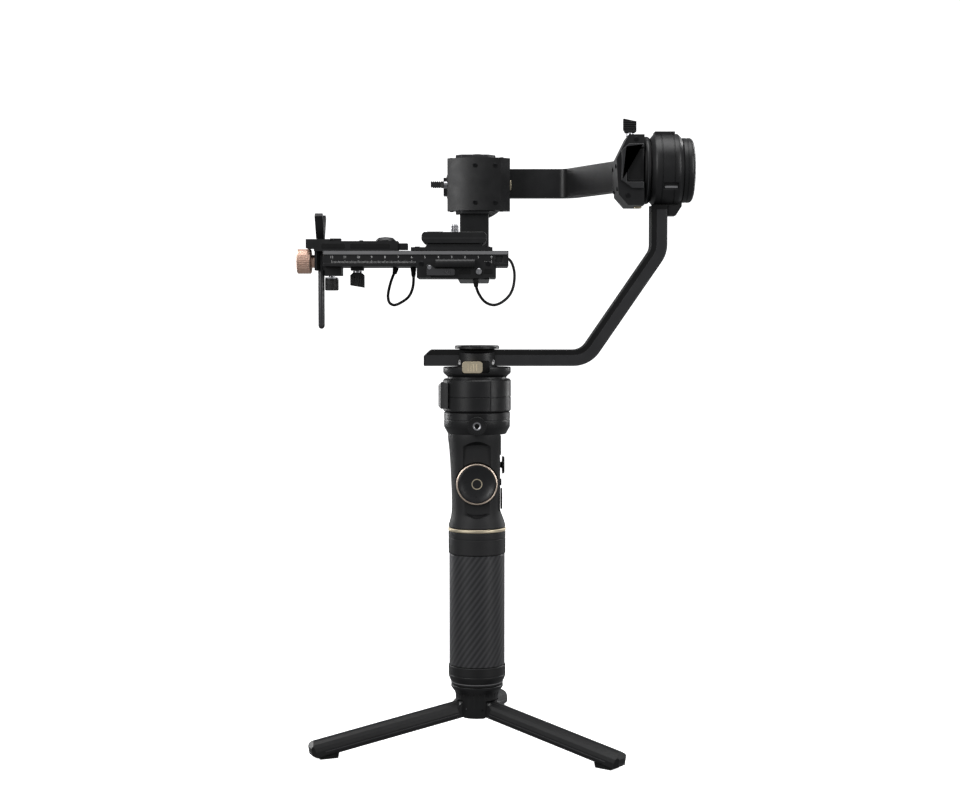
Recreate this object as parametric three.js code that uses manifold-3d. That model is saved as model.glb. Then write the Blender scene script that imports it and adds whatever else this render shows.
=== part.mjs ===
// Three-axis handheld camera gimbal on a mini tripod, with a graduated camera rail and a lens support.
// Millimetres, +Z up, floor at Z = 0. The lens points to -X and the operator stands at +X. The dimensions
// below are taken from the pan axis and from a level just above the feet; at the end the whole is moved to
// stand on the floor over the middle of its own box.
import * as THREE from 'three';
import { mergeVertices } from 'three/addons/utils/BufferGeometryUtils.js';
import Module from 'manifold-3d';

const wasm = await Module();
wasm.setup();

// ---------------------------------------------------------------- driving dimensions
const GAP = 0.3; // air kept between pieces that touch
const BIG = 80; // reach of a cutting block past the piece it trims

// tripod
const LEG_AZIMUTHS = [202, 322, 82]; // degrees from +X
const LEG_LENGTH = 124;
const LEG_SLOPE = 10.15; // degrees below level
const LEG_WIDTH = 15;
const LEG_HALF_THICK = 6.3;
const LEG_PIN_RADIAL = 12;
const LEG_PIN_Z = 25;
const LEG_PIN_R = 1.6;
const FOOT_BOTTOM = -3.6; // the floor, before the whole is moved
const HUB_BOTTOM = 18;
const HUB_R = 16.6;
const HUB_TOP = 42.6;

// grip
const GRIP_R = 22;
const TUBE_R = 21.4;
const TUBE_WALL = 1.5;
const TUBE_BOTTOM = 58.3;
const TUBE_TOP = 143.8;
const COLLAR_TOP = 161.2;
const TRIM_TOP = 164;
const CELL_R = 9.1;
const CELL_LENGTH = 65;
const CELL_BOTTOM = 66;
const CELL_RING_R = 10.6;

// control section
const CONTROL_BOTTOM = 164.3;
const CONTROL_TOP = 238.7;
const PANEL_X = 17.5; // flat operator panel
const SIDE_FLAT_Y = -16.8; // flat that carries the focus wheel
const WHEEL_Z = 198.8;
const WHEEL_R = 15.7;
const STICK_Z = 212;
const PAD_Z = 186.1;
const MODE_Z = 198.8;

// pan axis
const MOTOR_R = 26;
const COLLAR_BOTTOM = 239;
const PAN_BOTTOM = 253.2;
const PAN_TOP = 278.4;
const NECK_R = 17.1;
const NECK_TOP = 300.9;
const CAP_TOP = 303.8;

// arms
const ARM_THICK = 12.4;
const PAN_ARM_DEPTH = 20;
const PAN_ARM_Z = 294.4;
const ARM_WIDE = 24.5; // tall side of the roll and tilt arms
const BAR_OFFSET = 2.5; // arm's centre from the roll and tilt axes
const AXIS_Z = 437; // roll and tilt axes
const BAR_DEPTH = 119.1; // arm's centre plane, along the axis, in a motor's own frame
const CLAMP_HALF = 22;
const TILT_SHIFT = 21.2; // the tilt motor stands this much further out than the roll motor

// camera platform
const TILT_BAR_BOTTOM = 353.6;
const TILT_BAR_TOP = 361.6;
const BASE_BOTTOM = 354.8;
const BASE_LEFT = -45;
const BASE_RIGHT = 14.3;
const JAW_TOP = 369;
const RAIL_HALF = 25;
const RAIL_LEFT = -115.7;
const RAIL_RIGHT = 23.7;
const RAIL_BOTTOM = 363.5;
const RAIL_TOP = 375.1;
const PLATE_TOP = 389.4;
const ROD_X = -119;
const ROD_R = 2.5;
const KNOB_Z = 367.9;
const SUPPORT_SCREW_X = -111;
const WING_SCREW_X = -91.4;
const SLOT_HALF = 3.4;
const CABLE_R = 1.1;

// ---------------------------------------------------------------- shaping helpers
const radians = THREE.MathUtils.degToRad;

// A three.js geometry as a solid that can be joined and cut.
function solid(geometry) {
  geometry.deleteAttribute('normal');
  geometry.deleteAttribute('uv');
  const merged = mergeVertices(geometry, 1e-3);
  const triVerts = merged.index
    ? new Uint32Array(merged.index.array)
    : Uint32Array.from({ length: merged.attributes.position.count }, (_, i) => i);
  const vertProperties = merged.attributes.position.array;
  return new wasm.Manifold(new wasm.Mesh({ numProp: 3, vertProperties, triVerts }));
}

// A solid as a geometry for a mesh.
function geometryOf(body) {
  const mesh = body.getMesh();
  const geometry = new THREE.BufferGeometry();
  geometry.setAttribute('position', new THREE.BufferAttribute(new Float32Array(mesh.vertProperties), 3));
  geometry.setIndex(new THREE.BufferAttribute(new Uint32Array(mesh.triVerts), 1));
  geometry.computeVertexNormals();
  return geometry;
}

const join = (first, ...others) => others.reduce((sum, body) => sum.add(body), first);
const cut = (first, ...others) => others.reduce((rest, body) => rest.subtract(body), first);

// A block between two corners.
function block(x0, x1, y0, y1, z0, z1) {
  const geometry = new THREE.BoxGeometry(x1 - x0, y1 - y0, z1 - z0);
  geometry.translate((x0 + x1) / 2, (y0 + y1) / 2, (z0 + z1) / 2);
  return solid(geometry);
}

// Turns a geometry made along +Z so that it lies along the named axis.
function along(geometry, axis) {
  if (axis === 'x') geometry.rotateY(Math.PI / 2);
  if (axis === 'y') geometry.rotateX(-Math.PI / 2);
  return geometry;
}

// A round bar along an axis, from one end to the other, centred on two coordinates of the other axes.
function bar(axis, radius, from, to, at, sides = 20) {
  const geometry = new THREE.CylinderGeometry(radius, radius, to - from, sides);
  geometry.rotateX(Math.PI / 2);
  geometry.translate(0, 0, (from + to) / 2);
  along(geometry, axis);
  if (axis === 'x') geometry.translate(0, at[0], at[1]);
  if (axis === 'y') geometry.translate(at[0], 0, at[1]);
  if (axis === 'z') geometry.translate(at[0], at[1], 0);
  return solid(geometry);
}

// A body turned about Z from a profile of [radius, height] points.
function turnedGeometry(profile, sides) {
  const geometry = new THREE.LatheGeometry(profile.map(([r, h]) => new THREE.Vector2(r, h)), sides);
  geometry.rotateX(Math.PI / 2);
  return geometry;
}

const turned = (profile, sides = 28) => solid(turnedGeometry(profile, sides));

// A ring: outer and inner radius, bottom and top.
function ring(outer, inner, bottom, top, sides = 28) {
  return turned([[inner, bottom], [outer, bottom], [outer, top], [inner, top], [inner, bottom]], sides);
}

// A prism of an outline in the XZ, YZ or XY plane, between two values of the remaining axis.
function prism(plane, outline, from, to, curveSegments = 6) {
  const shape = outline instanceof THREE.Shape
    ? outline
    : new THREE.Shape(outline.map(([u, v]) => new THREE.Vector2(u, v)));
  const geometry = new THREE.ExtrudeGeometry(shape, { depth: to - from, bevelEnabled: false, curveSegments });
  const frames = {
    XY: [[1, 0, 0], [0, 1, 0], [0, 0, 1], [0, 0, from]],
    XZ: [[1, 0, 0], [0, 0, 1], [0, -1, 0], [0, to, 0]],
    YZ: [[0, 1, 0], [0, 0, 1], [1, 0, 0], [from, 0, 0]],
  };
  const [u, v, w, origin] = frames[plane].map((axis) => new THREE.Vector3(...axis));
  geometry.applyMatrix4(new THREE.Matrix4().makeBasis(u, v, w).setPosition(origin));
  return solid(geometry);
}

// The outline of a bar of even width that follows corner points, with a round bend at each inner corner.
function barOutline(corners, bendRadius, width, steps = 5) {
  const points = corners.map(([u, v]) => new THREE.Vector2(u, v));
  const left = [];
  const right = [];
  const addPair = (point, direction) => {
    const side = new THREE.Vector2(-direction.y, direction.x).multiplyScalar(width / 2);
    left.push([point.x + side.x, point.y + side.y]);
    right.push([point.x - side.x, point.y - side.y]);
  };
  const heading = (a, b) => b.clone().sub(a).normalize();
  addPair(points[0], heading(points[0], points[1]));
  for (let i = 1; i < points.length - 1; i++) {
    const before = heading(points[i - 1], points[i]);
    const after = heading(points[i], points[i + 1]);
    const turn = Math.atan2(before.cross(after), before.dot(after));
    const run = bendRadius * Math.tan(Math.abs(turn) / 2);
    const start = points[i].clone().addScaledVector(before, -run);
    const toCentre = new THREE.Vector2(-before.y, before.x).multiplyScalar(Math.sign(turn) * bendRadius);
    const centre = start.clone().add(toCentre);
    for (let k = 0; k <= steps; k++) {
      const angle = (turn * k) / steps;
      const point = start.clone().rotateAround(centre, angle);
      addPair(point, before.clone().rotateAround(new THREE.Vector2(), angle));
    }
  }
  const last = points.length - 1;
  addPair(points[last], heading(points[last - 1], points[last]));
  return [...left, ...right.reverse()];
}

// ---------------------------------------------------------------- finishes
const finish = (color, roughness, metalness) => new THREE.MeshStandardMaterial({ color, roughness, metalness });
const FINISHES = {
  anodised: () => finish(0x1d1d1f, 0.42, 0.7),
  charcoal: () => finish(0x262628, 0.6, 0.1),
  carbon: () => finish(0x3a3a3c, 0.45, 0.2),
  paleGold: () => finish(0xcdb68c, 0.35, 0.8),
  peachGold: () => finish(0xd7a98c, 0.35, 0.8),
  blackPlastic: () => finish(0x141415, 0.5, 0),
  rubber: () => finish(0x101010, 0.9, 0),
  steel: () => finish(0x9a9a9c, 0.35, 0.9),
  copper: () => finish(0x9c5a34, 0.45, 0.7),
  cellWrap: () => finish(0x2f6f7c, 0.5, 0),
  board: () => finish(0x1f4a2c, 0.6, 0),
  glass: () => finish(0x0b0d10, 0.1, 0.1),
};

const gimbal = new THREE.Group();

function add(parent, name, body, material) {
  const mesh = new THREE.Mesh(geometryOf(body), FINISHES[material]());
  mesh.name = name;
  parent.add(mesh);
  return mesh;
}

// ---------------------------------------------------------------- mini tripod
function tripodHub() {
  let hub = turned([
    [0, HUB_BOTTOM], [15, HUB_BOTTOM], [HUB_R, 19.6], [HUB_R, 34], [17.4, 37], [19.4, 39.6],
    [20.1, 40.8], [20.1, HUB_TOP], [0, HUB_TOP],
  ]);
  const slotHalf = LEG_WIDTH / 2 + GAP;
  const slotTop = LEG_PIN_Z + LEG_HALF_THICK + 0.5;
  const slotBack = LEG_PIN_RADIAL - LEG_HALF_THICK - 0.4;
  const pinHalf = 10.8;
  for (const azimuth of LEG_AZIMUTHS) {
    const slot = block(slotBack, BIG, -slotHalf, slotHalf, HUB_BOTTOM - 5, slotTop).rotate([0, 0, azimuth]);
    hub = hub.subtract(slot);
  }
  for (const azimuth of LEG_AZIMUTHS) {
    const pin = bar('y', LEG_PIN_R, -pinHalf, pinHalf, [LEG_PIN_RADIAL, LEG_PIN_Z], 12).rotate([0, 0, azimuth]);
    hub = hub.add(pin);
  }
  const stud = bar('z', 3.2, HUB_TOP - 1, 54, [0, 0], 20);
  add(gimbal, 'tripod_hub', hub.add(stud), 'blackPlastic');
}

// Cross-section of a leg in its own YZ plane: flat sole, chamfered sides, rounded back.
function legSection() {
  const half = LEG_WIDTH / 2;
  const low = -LEG_HALF_THICK;
  const waist = -1;
  const points = [[-half + 2, low], [half - 2, low], [half, low + 2]];
  const steps = 8;
  for (let k = 0; k <= steps; k++) {
    const angle = (Math.PI * k) / steps;
    points.push([half * Math.cos(angle), waist + (LEG_HALF_THICK - waist) * Math.sin(angle)]);
  }
  points.push([-half, low + 2]);
  return points;
}

function leg(number, azimuth) {
  const group = new THREE.Group();
  group.rotation.z = radians(azimuth);
  gimbal.add(group);

  const half = LEG_HALF_THICK;
  const root = bar('y', half, -LEG_WIDTH / 2, LEG_WIDTH / 2, [0, 0], 24);
  const tipTrim = prism('XZ', [
    [-half - 1, -half - 1], [LEG_LENGTH - 5, -half - 1], [LEG_LENGTH, -half + 2.5],
    [LEG_LENGTH, 2], [LEG_LENGTH - 4, half + 1], [-half - 1, half + 1],
  ], -BIG, BIG);
  const noseTrim = prism('XY', [
    [-half - 1, -LEG_WIDTH], [LEG_LENGTH - 8.5, -LEG_WIDTH], [LEG_LENGTH, -LEG_WIDTH / 2 + 3],
    [LEG_LENGTH, LEG_WIDTH / 2 - 3], [LEG_LENGTH - 8.5, LEG_WIDTH], [-half - 1, LEG_WIDTH],
  ], -BIG, BIG);
  const shaft = prism('YZ', legSection(), 0, LEG_LENGTH).intersect(tipTrim).intersect(noseTrim);
  const eye = bar('y', LEG_PIN_R + GAP, -LEG_WIDTH, LEG_WIDTH, [0, 0], 12);
  const mesh = add(group, `tripod_leg_${number}`, cut(join(root, shaft), eye), 'blackPlastic');
  mesh.position.set(LEG_PIN_RADIAL, 0, LEG_PIN_Z);
  mesh.rotation.y = radians(LEG_SLOPE);

  // The foot fills the wedge between the sloping sole and the floor.
  const slope = radians(LEG_SLOPE);
  const soleZ = (x) => LEG_PIN_Z - (x - LEG_PIN_RADIAL) * Math.tan(slope) - half / Math.cos(slope) - GAP;
  const heel = 113;
  const toe = 127.6;
  const sole = [[heel + 1, FOOT_BOTTOM], [toe, FOOT_BOTTOM], [toe, soleZ(toe)], [heel, soleZ(heel)]];
  const pad = prism('XZ', sole, -5.5, 5.5);
  add(group, `tripod_foot_${number}`, pad, 'rubber');
}

// ---------------------------------------------------------------- grip with its battery cells
function grip() {
  const socket = bar('z', 3.6, HUB_TOP - 1, 55, [0, 0], 20);
  const endRing = turned([
    [0, 43], [20, 43], [20, 45.6], [20.9, 46.2], [GRIP_R, 49.4], [GRIP_R, 58], [0, 58],
  ]);
  add(gimbal, 'grip_end_ring', endRing.subtract(socket), 'blackPlastic');
  add(gimbal, 'grip_tube', ring(TUBE_R, TUBE_R - TUBE_WALL, TUBE_BOTTOM, TUBE_TOP), 'carbon');
  add(gimbal, 'grip_collar', ring(GRIP_R, 18, TUBE_TOP + GAP, COLLAR_TOP), 'charcoal');
  add(gimbal, 'trim_ring', ring(GRIP_R + 0.2, 17, COLLAR_TOP + GAP, TRIM_TOP), 'paleGold');
  for (let k = 0; k < 3; k++) {
    const angle = radians(90 + 120 * k);
    const centre = [CELL_RING_R * Math.cos(angle), CELL_RING_R * Math.sin(angle)];
    const cell = bar('z', CELL_R, CELL_BOTTOM, CELL_BOTTOM + CELL_LENGTH, centre, 20);
    const button = bar('z', 2.8, CELL_BOTTOM + CELL_LENGTH - 1, CELL_BOTTOM + CELL_LENGTH + 1.6, centre, 12);
    add(gimbal, `battery_cell_${k + 1}`, cell.add(button), 'cellWrap');
  }
}

// ---------------------------------------------------------------- control section
function controlHousing() {
  let shell = turned([
    [0, 234], [15, 234], [15, CONTROL_BOTTOM], [21.9, CONTROL_BOTTOM], [21.7, 166.6], [20.4, 171.2],
    [19.5, 177], [19.4, 184], [19.9, 200], [20.6, 215], [21.4, 225.5], [22.4, 232], [22.2, CONTROL_TOP],
    [0, CONTROL_TOP],
  ]);
  const panelTrim = prism('XZ', [
    [PANEL_X, CONTROL_TOP + 5], [PANEL_X, 177.5], [GRIP_R, 166.5], [BIG, 166.5], [BIG, CONTROL_TOP + 5],
  ], -BIG, BIG);
  const flat = new THREE.Shape();
  flat.moveTo(-10.5, 175.4);
  flat.quadraticCurveTo(0, 170.8, 10.5, 175.4);
  flat.lineTo(10.5, 227.5);
  flat.quadraticCurveTo(0, 235, -10.5, 227.5);
  const sideFlat = prism('XZ', flat, -BIG, SIDE_FLAT_Y);
  const pocket = block(0, 15.2, -8, 8, 176, 226);
  const holes = [
    bar('x', 4.6, 14, 20, [0, STICK_Z], 20),
    bar('x', 2.4, 14, 20, [0, PAD_Z], 16),
    bar('x', 1.5, 14, 20, [0, MODE_Z], 12),
    bar('y', 2.4, -20, -12, [0, WHEEL_Z], 16),
  ];
  shell = cut(shell, panelTrim, sideFlat, pocket, ...holes);
  add(gimbal, 'control_housing', shell, 'charcoal');
}

function controls() {
  add(gimbal, 'control_board', block(9, 10.6, -9, 9, 172, 226), 'board');
  add(gimbal, 'display_window', block(PANEL_X + GAP, PANEL_X + 0.9, -7.5, 7.5, 220.2, 234.6), 'glass');

  const cradle = block(11.8, 14.2, -3.6, 3.6, STICK_Z - 3.6, STICK_Z + 3.6);
  const throat = bar('x', 2.6, 11, 15, [0, STICK_Z], 16);
  add(gimbal, 'joystick_cradle', cradle.subtract(throat), 'blackPlastic');
  const stick = turnedGeometry([[0, 11.6], [2.2, 11.6], [2.2, 19.2], [6.7, 19.5], [6.7, 20.3], [5.9, 21.1], [0, 20.5]], 24);
  along(stick, 'x').translate(0, 0, STICK_Z);
  add(gimbal, 'joystick', solid(stick), 'rubber');

  const pad = join(
    bar('x', 8.2, 18.1, 19.4, [0, PAD_Z], 28),
    bar('x', 2, 12, 18.6, [0, PAD_Z], 16),
  );
  add(gimbal, 'menu_pad', pad, 'blackPlastic');
  const mode = join(
    bar('x', 2.6, 18, 18.8, [0, MODE_Z], 20),
    bar('x', 1.1, 12.2, 18.4, [0, MODE_Z], 12),
  );
  add(gimbal, 'mode_button', mode, 'blackPlastic');
}

function focusWheel() {
  const back = 17.8;
  const front = 22;
  const rim = turnedGeometry([
    [13.7, back], [WHEEL_R, back], [WHEEL_R, front - 0.8], [WHEEL_R - 0.6, front], [13.7, front], [13.7, back],
  ], 32);
  const dish = turnedGeometry([
    [0, 11.5], [2, 11.5], [2, 18], [13.4, 18], [13.4, 21.2], [9, 19.9], [4, 19.2], [0, 19.1],
  ], 32);
  for (const geometry of [rim, dish]) geometry.rotateX(Math.PI / 2).translate(0, 0, WHEEL_Z);
  add(gimbal, 'focus_wheel_rim', solid(rim), 'paleGold');
  add(gimbal, 'focus_wheel_dish', solid(dish), 'anodised');
}

// ---------------------------------------------------------------- accessory collar and pan motor
function accessoryCollar() {
  const body = turned([
    [9, COLLAR_BOTTOM], [22.2, COLLAR_BOTTOM], [25.3, 241.6], [25.3, 252.9], [9, 252.9], [9, COLLAR_BOTTOM],
  ]);
  const bossZ = 243.2;
  const bosses = [-1, 1].map((side) => {
    const [from, to] = [22.7 * side, 27.6 * side].sort((a, b) => a - b);
    return bar('y', 7.1, from, to, [0, bossZ], 28);
  });
  const threads = [-1, 1].map((side) => {
    const [from, to] = [23.2 * side, 30 * side].sort((a, b) => a - b);
    return bar('y', 3.2, from, to, [0, bossZ], 16);
  });
  add(gimbal, 'accessory_collar', cut(join(body, ...bosses), ...threads), 'anodised');
}

function panMotor() {
  const shell = turned([
    [0, PAN_BOTTOM], [24.6, PAN_BOTTOM], [MOTOR_R, 254.6], [MOTOR_R, 277.2], [24.8, PAN_TOP],
    [23.6, PAN_TOP], [23.6, 257], [0, 257],
  ], 32);
  const flange = prism('XZ', [
    [-24.4, 255.8], [-27, 255.8], [-29.4, 258.2], [-29.4, 273], [-27, 275.4], [-24.4, 275.4],
  ], -11, 11);
  const groove = block(9.6, 15, -BIG, -21.9, 254, PAN_TOP + 1);
  add(gimbal, 'pan_motor_housing', cut(join(shell, flange), groove), 'anodised');
  add(gimbal, 'pan_stator', ring(19.9, 9, 258, 274, 24), 'copper');
}

function panRotor() {
  const rotor = turned([
    [0, 258.4], [4, 258.4], [4, 276.5], [20.6, 276.5], [20.6, 259.4], [22.6, 259.4], [22.6, 279.9],
    [25.9, 283], [25.9, 287.3], [NECK_R, 287.3], [NECK_R, NECK_TOP], [0, NECK_TOP],
  ], 32);
  const armHalf = PAN_ARM_DEPTH / 2 + GAP;
  const channel = block(-BIG, BIG, -armHalf, armHalf, 287.7, BIG * 5);
  const brow = prism('YZ', [[-30, 295.3], [0, 300.7], [0, 310], [-30, 310]], -BIG, BIG);
  const lockPocket = block(-11.5, 9.7, -BIG, -14.1, 282.9, 292.3);
  add(gimbal, 'pan_rotor_clamp', cut(rotor, channel, brow, lockPocket), 'anodised');
  const cap = turned([
    [0, NECK_TOP + GAP], [NECK_R, NECK_TOP + GAP], [NECK_R, CAP_TOP - 0.6], [16.4, CAP_TOP], [0, CAP_TOP],
  ], 32);
  add(gimbal, 'pan_clamp_cap', cap, 'anodised');
  add(gimbal, 'pan_lock_slider', block(-11.1, 4.2, -26.3, -14.4, 283.3, 291.9), 'paleGold');
}

// ---------------------------------------------------------------- arms
function panArm() {
  const outline = barOutline([[-40.6, PAN_ARM_Z], [82.8, PAN_ARM_Z], [138.25, 375.2], [138.25, 414]], 18, ARM_THICK);
  const arm = prism('XZ', outline, -PAN_ARM_DEPTH / 2, PAN_ARM_DEPTH / 2);
  const motorSeat = bar('x', 27.9, 120, 160, [0, AXIS_Z], 32);
  const gussetSeat = block(144.75, 150, -BIG, BIG, 400, 420);
  add(gimbal, 'pan_arm', cut(arm, motorSeat, gussetSeat), 'anodised');
}

function rollArm() {
  const y = BAR_DEPTH + TILT_SHIFT + 19.15;
  const outline = barOutline([[BAR_DEPTH, -CLAMP_HALF], [BAR_DEPTH, 78], [78, y], [20, y]], 14, ARM_THICK);
  const z = AXIS_Z + BAR_OFFSET;
  const arm = prism('XY', outline, z - ARM_WIDE / 2, z + ARM_WIDE / 2);
  const motorSeat = bar('y', 27.9, 130, 190, [0, AXIS_Z], 32);
  add(gimbal, 'roll_arm', arm.subtract(motorSeat), 'anodised');
}

function tiltArm() {
  const inner = BAR_DEPTH + TILT_SHIFT - ARM_THICK / 2;
  const outer = inner + ARM_THICK;
  const end = -24.7;
  const shape = new THREE.Shape();
  shape.moveTo(inner, 461);
  shape.lineTo(outer, 461);
  shape.lineTo(outer, TILT_BAR_BOTTOM + 22);
  shape.absarc(outer - 22, TILT_BAR_BOTTOM + 22, 22, 0, -Math.PI / 2, true);
  shape.lineTo(end, TILT_BAR_BOTTOM);
  shape.lineTo(end, TILT_BAR_TOP);
  shape.lineTo(inner - 12, TILT_BAR_TOP);
  shape.absarc(inner - 12, TILT_BAR_TOP + 12, 12, -Math.PI / 2, 0, false);
  const x = -BAR_OFFSET;
  add(gimbal, 'tilt_arm', prism('YZ', shape, x - ARM_WIDE / 2, x + ARM_WIDE / 2), 'anodised');
}

// ---------------------------------------------------------------- roll and tilt motors
// In a motor's own frame the axis is Z, the arm that it carries runs along Y through the clamp with its
// wide side along X, and the arm that carries the motor joins it at -X.
function motor(name, axes, position) {
  const group = new THREE.Group();
  group.matrixAutoUpdate = false;
  const [x, y, z] = axes.map((axis) => new THREE.Vector3(...axis));
  group.matrix.makeBasis(x, y, z).setPosition(...position);
  gimbal.add(group);

  const shell = turned([
    [0, 152], [23.3, 152], [23.3, 131.4], [24, 131.4], [27.6, 134.6], [27.6, 152.4], [24.3, 155.4], [0, 155.4],
  ], 32);
  const gusset = prism('XZ', [[-24.5, 145.1], [-34.5, 145.1], [-34.5, 151], [-27.5, 155.4], [-24, 155.4]], -8, 8);
  add(group, `${name}_motor_housing`, join(shell, gusset), 'anodised');
  add(group, `${name}_motor_cap`, turned([
    [0, 163.6], [11.6, 163.4], [21.6, 161.8], [22.6, 160.8], [22.6, 155.7], [24.5, 155.7], [24.5, 161.6],
    [22.6, 163.8], [12, 165.5], [0, 165.8],
  ], 32), 'anodised');
  add(group, `${name}_stator`, ring(19.9, 9, 132.5, 148.8, 24), 'copper');
  add(group, `${name}_rotor`, turned([
    [0, 125.9], [24.2, 125.9], [25.4, 127.1], [25.4, 129.8], [24.4, 130.8], [22.6, 130.8], [22.6, 149.4],
    [20.6, 149.4], [20.6, 131.6], [4, 131.6], [4, 151.4], [0, 151.4],
  ], 32), 'anodised');

  const back = 125.6;
  const screwZ = 116.3;
  const hexagon = [
    [25.2, back], [25.2, 113.8], [6.5, 104.6], [-19.5, 106.2], [-27.6, 113.4], [-27.6, back],
  ];
  const outer = prism('XZ', hexagon, -CLAMP_HALF, CLAMP_HALF);
  const reach = ARM_WIDE / 2 + GAP;
  const channel = block(BAR_OFFSET - reach, BAR_OFFSET + reach, -BIG, BIG, BAR_DEPTH - ARM_THICK / 2 - GAP, BIG * 2);
  const screwHole = bar('x', 2.8, 14, BIG, [0, screwZ], 16);
  const lockPocket = block(-BIG, -23.2, -9.4, 4.4, 119.6, BIG * 2);
  add(group, `${name}_clamp`, cut(outer, channel, screwHole, lockPocket), 'anodised');

  const stem = bar('x', 2.4, 15.4, 30, [0, screwZ], 16);
  const washer = bar('x', 3.1, 25.5, 28.2, [0, screwZ], 20);
  const wing = prism('XZ', [
    [28.2, screwZ - 3.4], [31, screwZ - 5], [39.4, screwZ - 5], [37.4, screwZ + 5], [29.4, screwZ + 5],
    [28.2, screwZ + 3.4],
  ], -2.8, 2.8);
  add(group, `${name}_thumb_screw`, join(stem, washer, wing), 'blackPlastic');
  add(group, `${name}_lock_slider`, block(-28.7, -23.5, -4, 4, 119.9, 125.3), 'paleGold');
}

// ---------------------------------------------------------------- camera platform
function baseClamp() {
  const armReach = ARM_WIDE / 2 + GAP;
  const front = -RAIL_HALF - GAP;
  const deckTop = RAIL_BOTTOM - GAP;
  const core = block(BASE_LEFT, BASE_RIGHT, front - 4.2, RAIL_HALF + 4.5, BASE_BOTTOM, deckTop);
  const frontJaw = prism('XZ', [
    [BASE_LEFT, BASE_BOTTOM], [4, BASE_BOTTOM - 0.6], [BASE_RIGHT - 1, BASE_BOTTOM + 1.4], [BASE_RIGHT, JAW_TOP - 7],
    [BASE_RIGHT - 3, JAW_TOP - 4], [-1, JAW_TOP], [-36, JAW_TOP], [BASE_LEFT, JAW_TOP - 1],
  ], front - 4.2, front);
  const backJaw = block(BASE_LEFT, BASE_RIGHT, RAIL_HALF + GAP, RAIL_HALF + 4.5, deckTop - 1, JAW_TOP);
  const channel = block(-BAR_OFFSET - armReach, -BAR_OFFSET + armReach, front, BIG, -BIG, TILT_BAR_TOP + GAP);
  const barrel = bar('x', 3.3, -30.8, -1.7, [-31.6, 365.3], 20);
  const lug = block(-38, -34.4, -33.2, front - 3, BASE_BOTTOM, 356.1);
  const buttonPocket = bar('y', 2.6, -BIG, front - 1, [1.4, 359.4], 16);
  const body = cut(join(core, frontJaw, backJaw, barrel, lug), channel, buttonPocket);
  add(gimbal, 'base_clamp', body, 'anodised');

  const lever = prism('XZ', [
    [-37.4, 356.4], [-16.6, 356.4], [-16.6, 361.4], [-31, 361.4], [-35.3, 364.6], [-37.4, 364.6],
  ], -33.2, -30.4);
  add(gimbal, 'base_lever', lever, 'anodised');
  add(gimbal, 'safety_button', bar('y', 2.3, -31.2, front - 2.6, [1.4, 359.4], 16), 'steel');
}

function rail() {
  const half = RAIL_HALF;
  const section = [
    [-half, RAIL_BOTTOM], [half, RAIL_BOTTOM], [half, 365.8], [half - 0.8, 365.8], [half - 0.8, 372],
    [half, 372], [half, RAIL_TOP], [-half, RAIL_TOP], [-half, 372], [-half + 0.8, 372],
    [-half + 0.8, 365.8], [-half, 365.8],
  ];
  const body = prism('YZ', section, RAIL_LEFT, RAIL_RIGHT);
  const slot = block(-BIG * 2, -84, -SLOT_HALF, SLOT_HALF, 300, 400);
  add(gimbal, 'camera_rail', body.subtract(slot), 'anodised');
}

function cameraPlate() {
  const plateBottom = 380.7;
  const screwX = -17;
  const flange = block(-49.6, 11.7, -25, 25, RAIL_TOP + GAP, 377.8);
  const taper = prism('XZ', [[-39.8, 377], [4.6, 377], [2, plateBottom - GAP], [-37.2, plateBottom - GAP]], -20, 20);
  add(gimbal, 'plate_riser', join(flange, taper), 'anodised');

  const outline = [
    [-38.7, plateBottom], [4.2, plateBottom], [7.2, 383], [7.2, 387], [5.4, PLATE_TOP],
    [-39.9, PLATE_TOP], [-41.7, 387], [-41.7, 383],
  ];
  const seat = bar('z', 6.4, 300, 384, [screwX, 0], 20);
  const bore = bar('z', 3.5, 300, 400, [screwX, 0], 16);
  add(gimbal, 'camera_plate', cut(prism('XZ', outline, -22, 22), seat, bore), 'anodised');
  const head = bar('z', 6, 381.2, 383.6, [screwX, 0], 20);
  add(gimbal, 'camera_screw', join(head, bar('z', 3.1, 383, 396, [screwX, 0], 16)), 'steel');
}

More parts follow.
